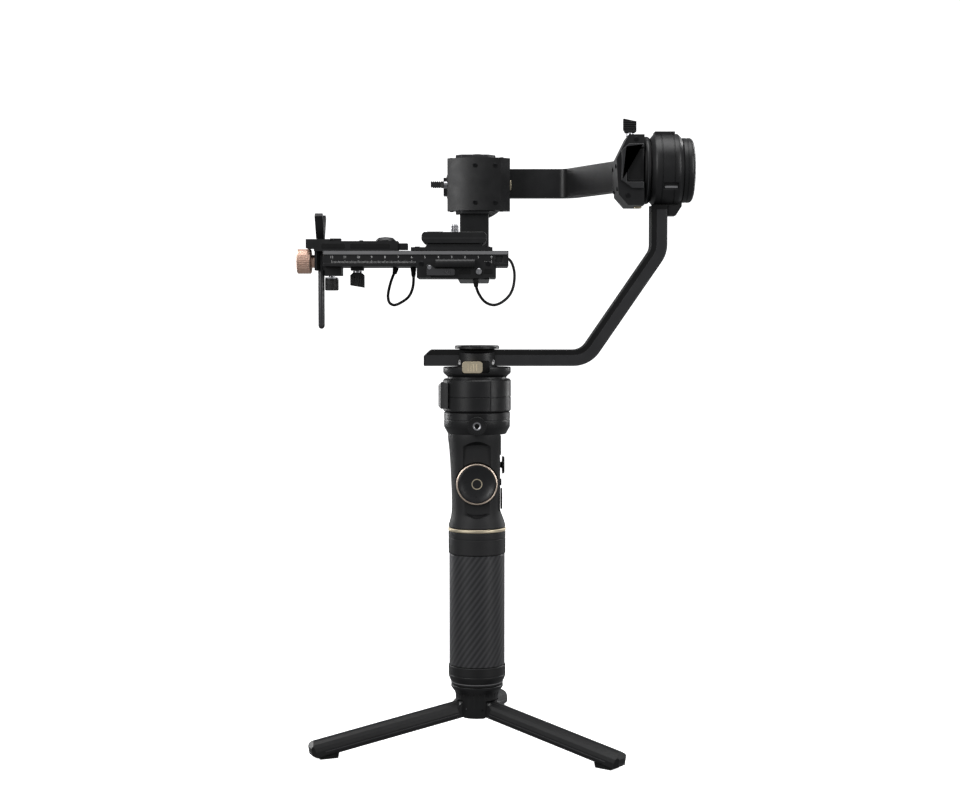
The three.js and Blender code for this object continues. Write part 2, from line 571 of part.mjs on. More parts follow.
// ---------------------------------------------------------------- lens support
function lensSupport() {
  const low = RAIL_TOP + GAP;
  const web = SLOT_HALF - GAP;
  const under = RAIL_BOTTOM - GAP;
  const main = block(-123.6, -60, -11, 11, low, 383);
  const tail = block(-61, -52.9, -9, 9, low + 1.4, 381.4);
  const head = block(-129.8, -111.8, -11, 11, 377.7, 384.5);
  const nut = block(-112, -103.8, -4, 4, 382, 385.3);
  const dome = turnedGeometry([[0, 382], [7.6, 382], [7.6, 384], [5.5, 385.9], [0, 386.6]], 20).translate(-69.7, 0, 0);
  const screwLug = block(-116.3, -103, -10, 10, 356.9, under);
  const screwWeb = block(-115.4, -104, -web, web, 360, low + 1);
  const wingLug = block(-96.2, -86.6, -6, 6, 360.9, under);
  const wingWeb = block(-95.4, -87.4, -web, web, 362, low + 1);
  const post = block(-123.6, -116.2, -6.5, 9, 361, low + 1);
  const body = join(main, tail, head, nut, solid(dome), screwLug, screwWeb, wingLug, wingWeb, post);
  add(gimbal, 'support_bracket', cut(
    body,
    block(-121.6, -115, -BIG, -2.2, 300, low),
    bar('z', ROD_R + GAP, 300, 400, [ROD_X, 0], 16),
    bar('x', 5.2, -140, -121.8, [0, KNOB_Z], 20),
    bar('z', 2.7, 300, 362, [SUPPORT_SCREW_X, 0], 16),
    bar('z', 2.5, 300, 366, [WING_SCREW_X, 0], 16),
  ), 'anodised');

  add(gimbal, 'support_knob', join(
    turned([[0, 345.7], [4.9, 345.7], [5.2, 346.2], [5.2, 354.6], [0, 354.6]], 24).translate([SUPPORT_SCREW_X, 0, 0]),
    bar('z', 5.1, 354.5, 356.6, [SUPPORT_SCREW_X, 0], 24),
    bar('z', 2.4, 356, 361.6, [SUPPORT_SCREW_X, 0], 16),
  ), 'blackPlastic');

  const x = WING_SCREW_X;
  const wing = prism('XZ', [
    [x - 3.4, 359.2], [x - 5.4, 357.4], [x - 5.4, 349.6], [x + 5.4, 347.8], [x + 5.4, 357.4], [x + 3.4, 359.2],
  ], -2.8, 2.8);
  add(gimbal, 'support_wing_screw', join(
    wing,
    bar('z', 3.4, 359, 360.6, [x, 0], 20),
    bar('z', 2.2, 360, 365.6, [x, 0], 16),
  ), 'blackPlastic');
}

function lensRod() {
  const rodTop = 388;
  const rod = turnedGeometry([
    [0, 316.4], [1.4, 316.8], [ROD_R, 318.6], [ROD_R, rodTop], [0, rodTop],
  ], 16).translate(ROD_X, 0, 0);
  const fork = prism('YZ', [
    [-4, 384.8], [4, 384.8], [16.5, 401.5], [13, 404], [1.8, 391.5], [-1.8, 391.5], [-13, 404], [-16.5, 401.5],
  ], ROD_X - 3.6, ROD_X + 2.6);
  add(gimbal, 'lens_rod', join(solid(rod), fork), 'anodised');

  const knob = turnedGeometry([
    [0, -137.5], [8.9, -137.5], [9.4, -137], [9.4, -126.9], [8.9, -126.4], [4.9, -126.4], [4.9, -122.1], [0, -122.1],
  ], 32);
  along(knob, 'x').translate(0, 0, KNOB_Z);
  add(gimbal, 'rod_knob', solid(knob), 'peachGold');
}

// ---------------------------------------------------------------- loop cables
// A round lead through a list of points, with straight ends.
function lead(name, points, steps) {
  const curve = new THREE.CatmullRomCurve3(points.map((p) => new THREE.Vector3(...p)), false, 'centripetal');
  const section = new THREE.Shape();
  const sides = 8;
  for (let k = 0; k < sides; k++) {
    const angle = (2 * Math.PI * k) / sides;
    const corner = [CABLE_R * Math.cos(angle), CABLE_R * Math.sin(angle)];
    if (k) section.lineTo(...corner);
    else section.moveTo(...corner);
  }
  const geometry = new THREE.ExtrudeGeometry(section, { steps, extrudePath: curve });
  add(gimbal, name, solid(geometry), 'rubber');
}

// From the base clamp's far jaw, round the rail's end and down in a loop to the near jaw's underside.
const REAR_LEAD = [
  [8, 29.9, 365.5], [8.6, 33, 366], [13, 36, 369.2], [19.5, 35.4, 372], [25.2, 33, 370.5], [28.6, 29, 363.5],
  [29, 22.6, 354], [26.4, 13.6, 344.5], [20.5, 4, 337.8], [13, -6, 334.6], [6, -15, 337], [1.4, -22, 343],
  [-0.6, -26.2, 348.5], [-1, -27.4, 353.8],
];
// From one place under the rail to another, in a hanging loop.
const FRONT_LEAD = [
  [-62, 0, 363.2], [-62.6, 0, 360.5], [-64.5, -1, 356], [-66.8, -2, 348.5], [-67.9, -3, 340.9], [-66.6, -3.4, 336.2],
  [-63.2, -3.4, 334.6], [-57.5, -3, 336.8], [-52.1, -2, 341.1], [-49.3, -1, 347.2], [-48.5, 0, 353.9],
  [-48.6, 0, 358.5], [-48.6, 0, 363.2],
];

// ---------------------------------------------------------------- assembly
tripodHub();
LEG_AZIMUTHS.forEach((azimuth, index) => leg(index + 1, azimuth));
grip();
controlHousing();
controls();
focusWheel();
accessoryCollar();
panMotor();
panRotor();
panArm();
motor('roll', [[0, 0, 1], [0, -1, 0], [1, 0, 0]], [0, 0, AXIS_Z]);
rollArm();
motor('tilt', [[-1, 0, 0], [0, 0, 1], [0, 1, 0]], [0, TILT_SHIFT, AXIS_Z]);
tiltArm();
baseClamp();
rail();
cameraPlate();
lensSupport();
lensRod();
gimbal.updateMatrixWorld(true);
const middle = new THREE.Box3().setFromObject(gimbal, true).getCenter(new THREE.Vector3());
gimbal.position.set(-middle.x, -middle.y, -FOOT_BOTTOM);
lead('rear_lead', REAR_LEAD, 32);
lead('front_lead', FRONT_LEAD, 26);

export default gimbal;
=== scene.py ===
"""A handheld three-axis camera gimbal on its mini tripod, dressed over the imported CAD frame."""

import math

import bmesh
import bpy
from mathutils import Matrix, Vector


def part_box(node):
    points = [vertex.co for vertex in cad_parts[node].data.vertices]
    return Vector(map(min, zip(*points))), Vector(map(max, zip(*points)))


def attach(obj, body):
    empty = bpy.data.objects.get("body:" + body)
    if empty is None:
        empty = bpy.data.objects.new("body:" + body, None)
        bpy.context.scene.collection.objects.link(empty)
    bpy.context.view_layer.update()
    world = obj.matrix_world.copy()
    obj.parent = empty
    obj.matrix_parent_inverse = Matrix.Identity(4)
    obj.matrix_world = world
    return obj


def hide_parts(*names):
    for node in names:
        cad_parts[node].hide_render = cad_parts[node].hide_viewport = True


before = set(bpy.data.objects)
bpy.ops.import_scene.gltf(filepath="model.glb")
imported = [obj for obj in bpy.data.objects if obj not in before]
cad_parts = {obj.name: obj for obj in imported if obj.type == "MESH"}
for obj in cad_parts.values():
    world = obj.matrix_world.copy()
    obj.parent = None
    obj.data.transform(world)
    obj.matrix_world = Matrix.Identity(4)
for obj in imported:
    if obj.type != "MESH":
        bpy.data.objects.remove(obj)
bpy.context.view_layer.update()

# ---------------------------------------------------------------- the frame's own measures
MM = 0.001
TUBE_BOTTOM = 58.3
tube_low, tube_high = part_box("grip_tube")
PAN = Vector(((tube_low.x + tube_high.x) / 2, (tube_low.y + tube_high.y) / 2,
    tube_low.z - TUBE_BOTTOM * MM))


class Span:
    """A CAD node's box in millimetres from PAN, on the pan axis just above the floor."""

    def __init__(self, node):
        low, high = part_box(node)
        self.x0, self.y0, self.z0 = (low - PAN) / MM
        self.x1, self.y1, self.z1 = (high - PAN) / MM
        self.x = (self.x0 + self.x1) / 2
        self.y = (self.y0 + self.y1) / 2
        self.z = (self.z0 + self.z1) / 2


def place(x, y, z):
    """A point in metres in the row frame, from millimetres off the pan axis."""
    return PAN + Vector((x, y, z)) * MM


# ---------------------------------------------------------------- camera
CAMERA_BACK = 1300
CAMERA_HEIGHT = 324
CAMERA_PITCH = 2.77
CAMERA_LENS = 63.6


def add_camera():
    data = bpy.data.cameras.new("camera")
    data.lens = CAMERA_LENS
    data.sensor_width = 36
    data.clip_end = 30
    camera = bpy.data.objects.new("camera", data)
    bpy.context.scene.collection.objects.link(camera)
    camera.location = place(2.3, -CAMERA_BACK, CAMERA_HEIGHT)
    camera.rotation_euler = (math.radians(90 - CAMERA_PITCH), 0, 0)
    bpy.context.scene.camera = camera


add_camera()

# ---------------------------------------------------------------- materials


class Shader:
    """A material with a Principled shader, and short calls for the nodes that feed it."""

    def __init__(self, name, color, metallic=0.0, roughness=0.5, specular=0.5, coat=0.0):
        self.material = bpy.data.materials.new(name)
        self.material.use_nodes = True
        self.nodes = self.material.node_tree.nodes
        self.links = self.material.node_tree.links
        self.bsdf = self.nodes["Principled BSDF"]
        self.bsdf.inputs["Base Color"].default_value = (*color, 1)
        self.bsdf.inputs["Metallic"].default_value = metallic
        self.bsdf.inputs["Roughness"].default_value = roughness
        self.bsdf.inputs["Specular IOR Level"].default_value = specular
        self.bsdf.inputs["Coat Weight"].default_value = coat
        self.where = self.nodes.new("ShaderNodeTexCoord").outputs["Object"]

    def math(self, operation, *values):
        node = self.nodes.new("ShaderNodeMath")
        node.operation = operation
        for socket, value in zip(node.inputs, values):
            if isinstance(value, (int, float)):
                socket.default_value = value
            else:
                self.links.new(value, socket)
        return node.outputs[0]

    def noise(self, scale, detail=3.0, stretch=(1, 1, 1)):
        mapping = self.nodes.new("ShaderNodeMapping")
        mapping.inputs["Scale"].default_value = stretch
        self.links.new(self.where, mapping.inputs["Vector"])
        node = self.nodes.new("ShaderNodeTexNoise")
        node.inputs["Scale"].default_value = scale
        node.inputs["Detail"].default_value = detail
        self.links.new(mapping.outputs[0], node.inputs["Vector"])
        return node.outputs["Fac"]

    def ramp(self, value, stops):
        node = self.nodes.new("ShaderNodeValToRGB")
        elements = node.color_ramp.elements
        while len(elements) < len(stops):
            elements.new(0.5)
        for element, (position, color) in zip(elements, stops):
            element.position = position
            element.color = (*color, 1)
        self.links.new(value, node.inputs["Fac"])
        return node.outputs["Color"]

    def spread(self, value, low, high):
        node = self.nodes.new("ShaderNodeMapRange")
        node.inputs["From Min"].default_value = 0.25
        node.inputs["From Max"].default_value = 0.75
        node.inputs["To Min"].default_value = low
        node.inputs["To Max"].default_value = high
        self.links.new(value, node.inputs["Value"])
        return node.outputs["Result"]

    def color(self, value):
        self.links.new(value, self.bsdf.inputs["Base Color"])

    def rough(self, value):
        self.links.new(value, self.bsdf.inputs["Roughness"])

    def bump(self, height, strength, distance):
        node = self.nodes.new("ShaderNodeBump")
        node.inputs["Strength"].default_value = strength
        node.inputs["Distance"].default_value = distance
        self.links.new(height, node.inputs["Height"])
        self.links.new(node.outputs[0], self.bsdf.inputs["Normal"])

    def around(self):
        """Angle about the pan axis, in turns, and height in metres."""
        split = self.nodes.new("ShaderNodeSeparateXYZ")
        self.links.new(self.where, split.inputs[0])
        angle = self.math("ARCTAN2", split.outputs["Y"], split.outputs["X"])
        return self.math("DIVIDE", angle, 2 * math.pi), split.outputs["Z"]


def shade(color, factor):
    return tuple(min(1, channel * factor) for channel in color)


def grained(name, color, metallic, roughness, specular=0.5, tone=0.25, grain=2600, depth=0.00002, coat=0.0):
    """A matt or satin finish: cloudy tone, uneven gloss and a fine grain."""
    shader = Shader(name, color, metallic, roughness, specular, coat)
    cloud = shader.noise(38, 4)
    shader.color(shader.ramp(cloud, [(0.3, shade(color, 1 - tone)), (0.7, shade(color, 1 + tone))]))
    shader.rough(shader.spread(shader.noise(120, 5), roughness - 0.05, roughness + 0.07))
    shader.bump(shader.noise(grain, 2), 0.35, depth)
    return shader.material


def brushed(name, color, roughness, stretch=(1, 1, 14)):
    """Machined metal with fine marks across one axis."""
    shader = Shader(name, color, 1.0, roughness)
    marks = shader.noise(420, 4, stretch)
    shader.color(shader.ramp(marks, [(0.3, shade(color, 0.86)), (0.7, shade(color, 1.1))]))
    shader.rough(shader.spread(marks, roughness - 0.07, roughness + 0.1))
    shader.bump(marks, 0.2, 0.00002)
    return shader.material


def carbon_twill():
    """Twill weave wound on the grip: diagonal ribs that climb to the right, each of small crossed tows."""
    dark, light = (0.012, 0.012, 0.013), (0.042, 0.042, 0.045)
    shader = Shader("carbon_twill", dark, 0.0, 0.42, 0.4, coat=0.35)
    shader.bsdf.inputs["Coat Roughness"].default_value = 0.34
    turn, height = shader.around()
    ribs_round = 30
    rib_rise = 1 / 0.0062
    across = shader.math("MULTIPLY", turn, ribs_round)
    up = shader.math("MULTIPLY", height, rib_rise)
    diagonal = shader.math("SUBTRACT", up, across)
    rib = shader.math("PINGPONG", diagonal, 0.5)
    tow = shader.math("PINGPONG", shader.math("MULTIPLY", shader.math("ADD", up, across), 4), 0.5)
    woven = shader.math("ADD", shader.math("MULTIPLY", rib, 1.5), shader.math("MULTIPLY", tow, 0.35))
    shader.color(shader.ramp(woven, [(0.18, dark), (0.75, light)]))
    shader.rough(shader.spread(shader.noise(200, 4), 0.33, 0.44))
    shader.bump(woven, 0.25, 0.00025)
    return shader.material


def turned_rings(name, color, metallic, roughness, axis, pitch, depth):
    """Concentric turning marks, by distance from an axis through the middle of a piece."""
    shader = Shader(name, color, metallic, roughness)
    offset = shader.nodes.new("ShaderNodeVectorMath")
    offset.operation = "SUBTRACT"
    offset.inputs[1].default_value = axis
    shader.links.new(shader.where, offset.inputs[0])
    length = shader.nodes.new("ShaderNodeVectorMath")
    length.operation = "LENGTH"
    shader.links.new(offset.outputs[0], length.inputs[0])
    rings = shader.math("PINGPONG", shader.math("DIVIDE", length.outputs["Value"], pitch), 0.5)
    shader.color(shader.ramp(rings, [(0.0, shade(color, 0.8)), (0.5, shade(color, 1.25))]))
    shader.rough(shader.spread(shader.noise(300, 3), roughness - 0.05, roughness + 0.08))
    shader.bump(rings, 0.4, depth)
    return shader.material


def wound_copper():
    """Enamelled wire laid round a core in close turns."""
    color = (0.42, 0.16, 0.055)
    shader = Shader("wound_copper", color, 0.9, 0.35)
    wires = shader.nodes.new("ShaderNodeTexWave")
    wires.inputs["Scale"].default_value = 900
    wires.inputs["Distortion"].default_value = 0.6
    shader.links.new(shader.where, wires.inputs["Vector"])
    shader.color(shader.ramp(wires.outputs["Fac"], [(0.2, shade(color, 0.5)), (0.8, shade(color, 1.3))]))
    shader.rough(shader.spread(shader.noise(200), 0.28, 0.45))
    shader.bump(wires.outputs["Fac"], 0.6, 0.0002)
    return shader.material


def circuit_board():
    """Green solder mask with lighter tracks."""
    green = (0.012, 0.085, 0.03)
    shader = Shader("circuit_mask", green, 0.0, 0.4)
    bricks = shader.nodes.new("ShaderNodeTexBrick")
    bricks.inputs["Scale"].default_value = 420
    bricks.inputs["Mortar Size"].default_value = 0.06
    bricks.inputs["Color1"].default_value = (*green, 1)
    bricks.inputs["Color2"].default_value = (*shade(green, 0.7), 1)
    bricks.inputs["Mortar"].default_value = (0.09, 0.20, 0.06, 1)
    shader.links.new(shader.where, bricks.inputs["Vector"])
    shader.color(bricks.outputs["Color"])
    shader.rough(shader.spread(shader.noise(200), 0.35, 0.5))
    shader.bump(bricks.outputs["Fac"], 0.2, 0.00005)
    return shader.material


def ribbed_rubber():
    color = (0.006, 0.006, 0.006)
    shader = Shader("ribbed_rubber", color, 0.0, 0.75, 0.22)
    shader.color(shader.ramp(shader.noise(60), [(0.3, shade(color, 0.7)), (0.7, shade(color, 1.6))]))
    shader.rough(shader.spread(shader.noise(500), 0.65, 0.9))
    shader.bump(shader.noise(1800, 3), 0.5, 0.00006)
    return shader.material


def glass_front():
    shader = Shader("display_glass", (0.006, 0.007, 0.009), 0.0, 0.06, 0.6, coat=0.6)
    shader.bsdf.inputs["Coat Roughness"].default_value = 0.03
    smear = shader.noise(45, 5)
    shader.color(shader.ramp(smear, [(0.3, (0.005, 0.006, 0.008)), (0.7, (0.010, 0.011, 0.014))]))
    shader.rough(shader.spread(smear, 0.05, 0.12))
    return shader.material


ANODISED = grained("anodised_black", (0.0085, 0.0085, 0.0092), 0.0, 0.38, 0.42, grain=3800)
# A lighter grey anodised tone for some whole parts, also used for thin strips of painted highlight along
# edges.
ANODISED_GREY_AND_HIGHLIGHT = grained("anodised_grey_and_painted_highlight", (0.030, 0.030, 0.032), 0.0, 0.34, 0.5, grain=3800)
# A lighter grey that paints light onto black parts: the lit faces of the pan arm and of the clamp bosses.
LIT_FACE_GREY = grained("painted_lit_grey", (0.020, 0.020, 0.0215), 0.0, 0.44, 0.4, tone=0.1, grain=3800)
# The darkest black, for dark parts and for painted shade: the pan arm's bare top band and the arm ends set in
# the clamps.
BLACK_AND_SHADE = grained("black_and_painted_shade", (0.0035, 0.0035, 0.0038), 0.0, 0.5, 0.25, grain=1500, depth=0.00004)
SOFT_TOUCH = grained("soft_touch_charcoal", (0.0150, 0.0150, 0.0158), 0.0, 0.55, 0.32, tone=0.1, grain=2200)
PLASTIC = grained("moulded_black", (0.0075, 0.0075, 0.008), 0.0, 0.42, 0.4, grain=1700, depth=0.00003)
LEG = grained("leg_black", (0.0075, 0.0075, 0.008), 0.0, 0.42, 0.36, grain=1300, depth=0.00004)
# Near black for the thin dark lines along each side of the tripod legs.
LINE_BLACK = grained("leg_line_black", (0.003, 0.003, 0.003), 0.0, 0.6, 0.2, grain=900, depth=0.00006)
RUBBER = ribbed_rubber()
CARBON = carbon_twill()
PALE_GOLD = brushed("pale_gold", (0.80, 0.70, 0.52), 0.42)
ROSE_RIM = brushed("rose_rim", (0.72, 0.60, 0.50), 0.36)
PEACH_GOLD = brushed("peach_gold", (0.88, 0.62, 0.50), 0.40, (14, 1, 1))
STEEL = brushed("bright_steel", (0.50, 0.50, 0.52), 0.3)
BLACK_STEEL = brushed("black_oxide", (0.03, 0.03, 0.032), 0.36)
COPPER = wound_copper()
CELL_WRAP = grained("cell_wrap", (0.02, 0.16, 0.22), 0.0, 0.35, 0.5, coat=0.3)
BOARD = circuit_board()
GLASS = glass_front()
MARKING = grained("white_marking", (0.62, 0.62, 0.62), 0.0, 0.6, 0.3, tone=0.08)
# Light grey that paints highlights: thin strips along edges, grooves and slots of black parts.
EDGE_HIGHLIGHT = grained("painted_edge_highlight", (0.16, 0.16, 0.165), 0.0, 0.34, 0.6, tone=0.12, grain=3800)

# ---------------------------------------------------------------- shapes, in millimetres from the pan axis


def oriented(bm, axis=None, at=(0, 0, 0)):
    """Turns a body made along +Z to lie along x or y, and moves it."""
    if axis == "x":
        bm.transform(Matrix.Rotation(math.pi / 2, 4, "Y"))
    if axis == "y":
        bm.transform(Matrix.Rotation(-math.pi / 2, 4, "X"))
    bm.transform(Matrix.Translation(at))
    return bm


def lathe(profile, sides=96, axis=None, at=(0, 0, 0)):
    """A body turned from [radius, height] points, closed at the axis or as a ring back on itself."""
    bm = bmesh.new()
    rings = []
    for radius, height in profile:
        if radius < 1e-6:
            rings.append([bm.verts.new((0, 0, height))])
            continue
        turns = [2 * math.pi * k / sides for k in range(sides)]
        rings.append([bm.verts.new((radius * math.cos(a), radius * math.sin(a), height)) for a in turns])
    pairs = list(zip(rings, rings[1:]))
    if len(rings[0]) > 1:
        pairs.append((rings[-1], rings[0]))
    for low, high in pairs:
        for k in range(sides):
            after = (k + 1) % sides
            corners = [low[k % len(low)], low[after % len(low)], high[after % len(high)],
                high[k % len(high)]]
            corners = list(dict.fromkeys(corners))
            if len(corners) > 2:
                bm.faces.new(corners)
    bmesh.ops.recalc_face_normals(bm, faces=bm.faces)
    return oriented(bm, axis, at)


def disc(radius, low, high, axis=None, at=(0, 0, 0), sides=48, edge=0.0):
    """A short round body, with its rims broken by edge."""
    return lathe([
        (0, low), (radius - edge, low), (radius, low + edge), (radius, high - edge), (radius - edge, high),
        (0, high),
    ] if edge else [(0, low), (radius, low), (radius, high), (0, high)], sides, axis, at)


def prism(plane, outline, low, high):
    """An outline in the XY, XZ or YZ plane, carried from low to high along the axis that is left."""
    order = {"XY": (0, 1, 2), "XZ": (0, 2, 1), "YZ": (1, 2, 0)}[plane]
    bm = bmesh.new()
    ends = []
    for level in (low, high):
        ring = []
        for u, v in outline:
            point = [0, 0, 0]
            point[order[0]], point[order[1]], point[order[2]] = u, v, level
            ring.append(bm.verts.new(point))
        ends.append(ring)
        bm.faces.new(ring)
    count = len(outline)
    for k in range(count):
        after = (k + 1) % count
        bm.faces.new((ends[0][k], ends[0][after], ends[1][after], ends[1][k]))
    bmesh.ops.recalc_face_normals(bm, faces=bm.faces)
    return bm


def block(x0, x1, y0, y1, z0, z1):
    return prism("XY", [(x0, y0), (x1, y0), (x1, y1), (x0, y1)], z0, z1)


def rounded(u0, u1, v0, v1, radius, steps=6):
    """The outline of a rectangle with round corners."""
    outline = []
    corners = [(u1 - radius, v1 - radius, 0), (u0 + radius, v1 - radius, 90),
        (u0 + radius, v0 + radius, 180), (u1 - radius, v0 + radius, 270)]
    for u, v, start in corners:
        for k in range(steps + 1):
            angle = math.radians(start + 90 * k / steps)
            outline.append((u + radius * math.cos(angle), v + radius * math.sin(angle)))
    return outline


def bar_outline(corners, bend, width, steps=14):
    """The outline of a bar of even width through corner points, with a round bend at each inner one."""
    points = [Vector(c) for c in corners]
    left, right = [], []

    def add_pair(point, heading):
        side = Vector((-heading.y, heading.x)) * (width / 2)
        left.append(tuple(point + side))
        right.append(tuple(point - side))

    add_pair(points[0], (points[1] - points[0]).normalized())
    for a, b, c in zip(points, points[1:], points[2:]):
        before, after = (b - a).normalized(), (c - b).normalized()
        turn = math.atan2(before.x * after.y - before.y * after.x, before.dot(after))
        start = b - before * bend * math.tan(abs(turn) / 2)
        centre = start + Vector((-before.y, before.x)) * math.copysign(bend, turn)
        for k in range(steps + 1):
            spin = Matrix.Rotation(turn * k / steps, 2)
            add_pair(centre + spin @ (start - centre), spin @ before)
    add_pair(points[-1], (points[-1] - points[-2]).normalized())
    return left + right[::-1]


def as_object(bm, name="scratch"):
    mesh = bpy.data.meshes.new(name)
    bm.to_mesh(mesh)
    bm.free()
    shape = bpy.data.objects.new(name, mesh)
    bpy.context.scene.collection.objects.link(shape)
    return shape


def combine(operation, body, others):
    """A body joined to others, or cut by them."""
    base = as_object(body)
    helpers = [as_object(other) for other in others]
    for helper in helpers:
        modifier = base.modifiers.new("combine", "BOOLEAN")
        modifier.operation = operation
        modifier.solver = "EXACT"
        modifier.object = helper
    depsgraph = bpy.context.evaluated_depsgraph_get()
    result = bmesh.new()
    result.from_object(base, depsgraph)
    for scratch in [base, *helpers]:
        mesh = scratch.data
        bpy.data.objects.remove(scratch)
        bpy.data.meshes.remove(mesh)
    bmesh.ops.remove_doubles(result, verts=result.verts, dist=0.002)
    bmesh.ops.dissolve_limit(result, angle_limit=math.radians(0.3), verts=result.verts, edges=result.edges)
    return result


def carve(body, *cutters):
    return combine("DIFFERENCE", body, cutters)


def fuse(body, *others):
    return combine("UNION", body, others)


def merge(*bodies):
    """Several bodies in one mesh, each closed on its own."""
    result = bmesh.new()
    for body in bodies:
        scratch = bpy.data.meshes.new("scratch")
        body.to_mesh(scratch)
        body.free()
        result.from_mesh(scratch)
        bpy.data.meshes.remove(scratch)
    return result


def soften(piece, edge, segments=3, corner=32):
    """Smooth shading with crisp corners, and each corner rounded by edge millimetres."""
    mesh = piece.data
    sharp = math.radians(corner)
    bm = bmesh.new()
    bm.from_mesh(mesh)
    for face in bm.faces:
        face.smooth = True
    for side in bm.edges:
        side.smooth = len(side.link_faces) == 2 and side.calc_face_angle(0) < sharp
    bm.to_mesh(mesh)
    bm.free()
    if edge:
        modifier = piece.modifiers.new("round_edges", "BEVEL")
        modifier.width = edge * MM
        modifier.segments = segments
        modifier.limit_method = "ANGLE"
        modifier.angle_limit = sharp
        modifier.harden_normals = True
        modifier.use_clamp_overlap = True


def make(name, bm, material, body, edge=0.0, stands_for=(), placed=None):
    """A finished piece that rides on a body."""
    if placed is not None:
        bm.transform(placed)
    bm.transform(Matrix.Scale(MM, 4))
    bmesh.ops.recalc_face_normals(bm, faces=bm.faces)
    piece = as_object(bm, name)
    piece.location = PAN
    piece.data.materials.append(material)
    soften(piece, edge)
    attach(piece, body)
    if stands_for:
        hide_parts(*([stands_for] if isinstance(stands_for, str) else stands_for))
    return piece


def dress(node, material, edge=0.4):
    """Gives a CAD node its finish and soft edges, and leaves its shape alone."""
    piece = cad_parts[node]
    piece.data.materials.clear()
    piece.data.materials.append(material)
    soften(piece, edge, segments=2)


def socket_screw(name, at, axis, body, radius=1.6, rise=0.7, material=None, placed=None):
    """A cap screw with a hexagonal socket; at is the middle of its seat and axis the way it faces."""
    sign = -1 if axis.startswith("-") else 1
    letter = axis.lstrip("-")
    head = lathe([(0, -0.6), (radius, -0.6), (radius, rise - 0.2), (radius - 0.2, rise), (0, rise)], 32)
    socket = lathe([(0, rise - 0.8), (radius * 0.55, rise - 0.8), (radius * 0.55, rise + 1), (0, rise + 1)],
        6)
    screw = carve(head, socket)
    if sign < 0:
        screw.transform(Matrix.Rotation(math.pi, 4, "X"))
    oriented(screw, letter if letter != "z" else None, at)
    return make(name, screw, material or BLACK_STEEL, body, placed=placed)


def grooves(count, low, high, build):
    """Evenly spaced cutters: build gets each one's place."""
    step = (high - low) / max(1, count - 1)
    return [build(low + k * step) for k in range(count)]


# ---------------------------------------------------------------- leads
LEAD_R = 1.1
# The same points as the CAD's leads, in millimetres from the pan axis.
REAR_LEAD = [
    (8, 29.9, 365.5), (8.6, 33, 366), (13, 36, 369.2), (19.5, 35.4, 372), (25.2, 33, 370.5),
    (28.6, 29, 363.5),
    (29, 22.6, 354), (26.4, 13.6, 344.5), (20.5, 4, 337.8), (13, -6, 334.6), (6, -15, 337), (1.4, -22, 343),
    (-0.6, -26.2, 348.5), (-1, -27.4, 353.8),
]
FRONT_LEAD = [
    (-62, 0, 363.2), (-62.6, 0, 360.5), (-64.5, -1, 356), (-66.8, -2, 348.5), (-67.9, -3, 340.9),
    (-66.6, -3.4, 336.2), (-63.2, -3.4, 334.6), (-57.5, -3, 336.8), (-52.1, -2, 341.1), (-49.3, -1, 347.2),
    (-48.5, 0, 353.9), (-48.6, 0, 358.5), (-48.6, 0, 363.2),
]


def through(points, steps=10):
    """A smooth line through points: a centripetal Catmull-Rom curve."""
    points = [Vector(p) for p in points]
    ends = [points[0] * 2 - points[1], *points, points[-1] * 2 - points[-2]]
    line = []
    for a, b, c, d in zip(ends, ends[1:], ends[2:], ends[3:]):
        knots = [0]
        for p, q in ((a, b), (b, c), (c, d)):
            knots.append(knots[-1] + math.sqrt((q - p).length))
        for k in range(steps):
            t = knots[1] + (knots[2] - knots[1]) * k / steps
            first = [a.lerp(b, (t - knots[0]) / (knots[1] - knots[0])),
                b.lerp(c, (t - knots[1]) / (knots[2] - knots[1])),
                c.lerp(d, (t - knots[2]) / (knots[3] - knots[2]))]
            second = [first[0].lerp(first[1], (t - knots[0]) / (knots[2] - knots[0])),
                first[1].lerp(first[2], (t - knots[1]) / (knots[3] - knots[1]))]
            line.append(second[0].lerp(second[1], (t - knots[1]) / (knots[2] - knots[1])))
    return [*line, points[-1]]


def sleeve(name, end, inner, body, length=6.0):
    """A tapered strain relief, from a lead's end back along it."""
    end, inner = Vector(end), Vector(inner)
    heading = (inner - end).normalized()
    profile = [(0, -0.2), (2.2, -0.2), (2.2, 2.2), (1.9, 2.6), (1.9, 3.0), (2.05, 3.2), (1.75, 3.6),
        (1.75, 4.0),
        (1.9, 4.2), (1.45, length), (0, length)]
    relief = lathe(profile, 32)
    relief.transform(Matrix.Translation(end) @ heading.to_track_quat("Z", "Y").to_matrix().to_4x4())
    return make(name, relief, RUBBER, body, 0.15)


def add_lead(name, points, body, sleeves):
    line = through(points)
    curve = bpy.data.curves.new(name, "CURVE")
    curve.dimensions = "3D"
    curve.bevel_depth = LEAD_R * MM
    curve.bevel_resolution = 5
    curve.use_fill_caps = True
    spline = curve.splines.new("POLY")
    spline.points.add(len(line) - 1)
    for point, at in zip(spline.points, line):
        point.co = (*(at * MM), 1)
    spline.use_smooth = True
    curve.materials.append(RUBBER)
    cord = bpy.data.objects.new(f"{name}_cord", curve)
    bpy.context.scene.collection.objects.link(cord)
    cord.location = PAN
    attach(cord, body)
    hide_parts(name)


add_lead("rear_lead", REAR_LEAD, "base", [
    sleeve("rear_lead_relief_far", REAR_LEAD[0], REAR_LEAD[1], "base", 4.6),
    sleeve("rear_lead_relief_near", REAR_LEAD[-1], REAR_LEAD[-2], "base"),
])
add_lead("front_lead", FRONT_LEAD, "rail", [
    sleeve("front_lead_relief_left", FRONT_LEAD[0], FRONT_LEAD[1], "rail", 5),
    sleeve("front_lead_relief_right", FRONT_LEAD[-1], FRONT_LEAD[-3], "rail", 7),
])

# ---------------------------------------------------------------- mini tripod
LEG_AZIMUTHS = [202, 322, 82]
LEG_SLOPE = 10.15
LEG_LENGTH = 124


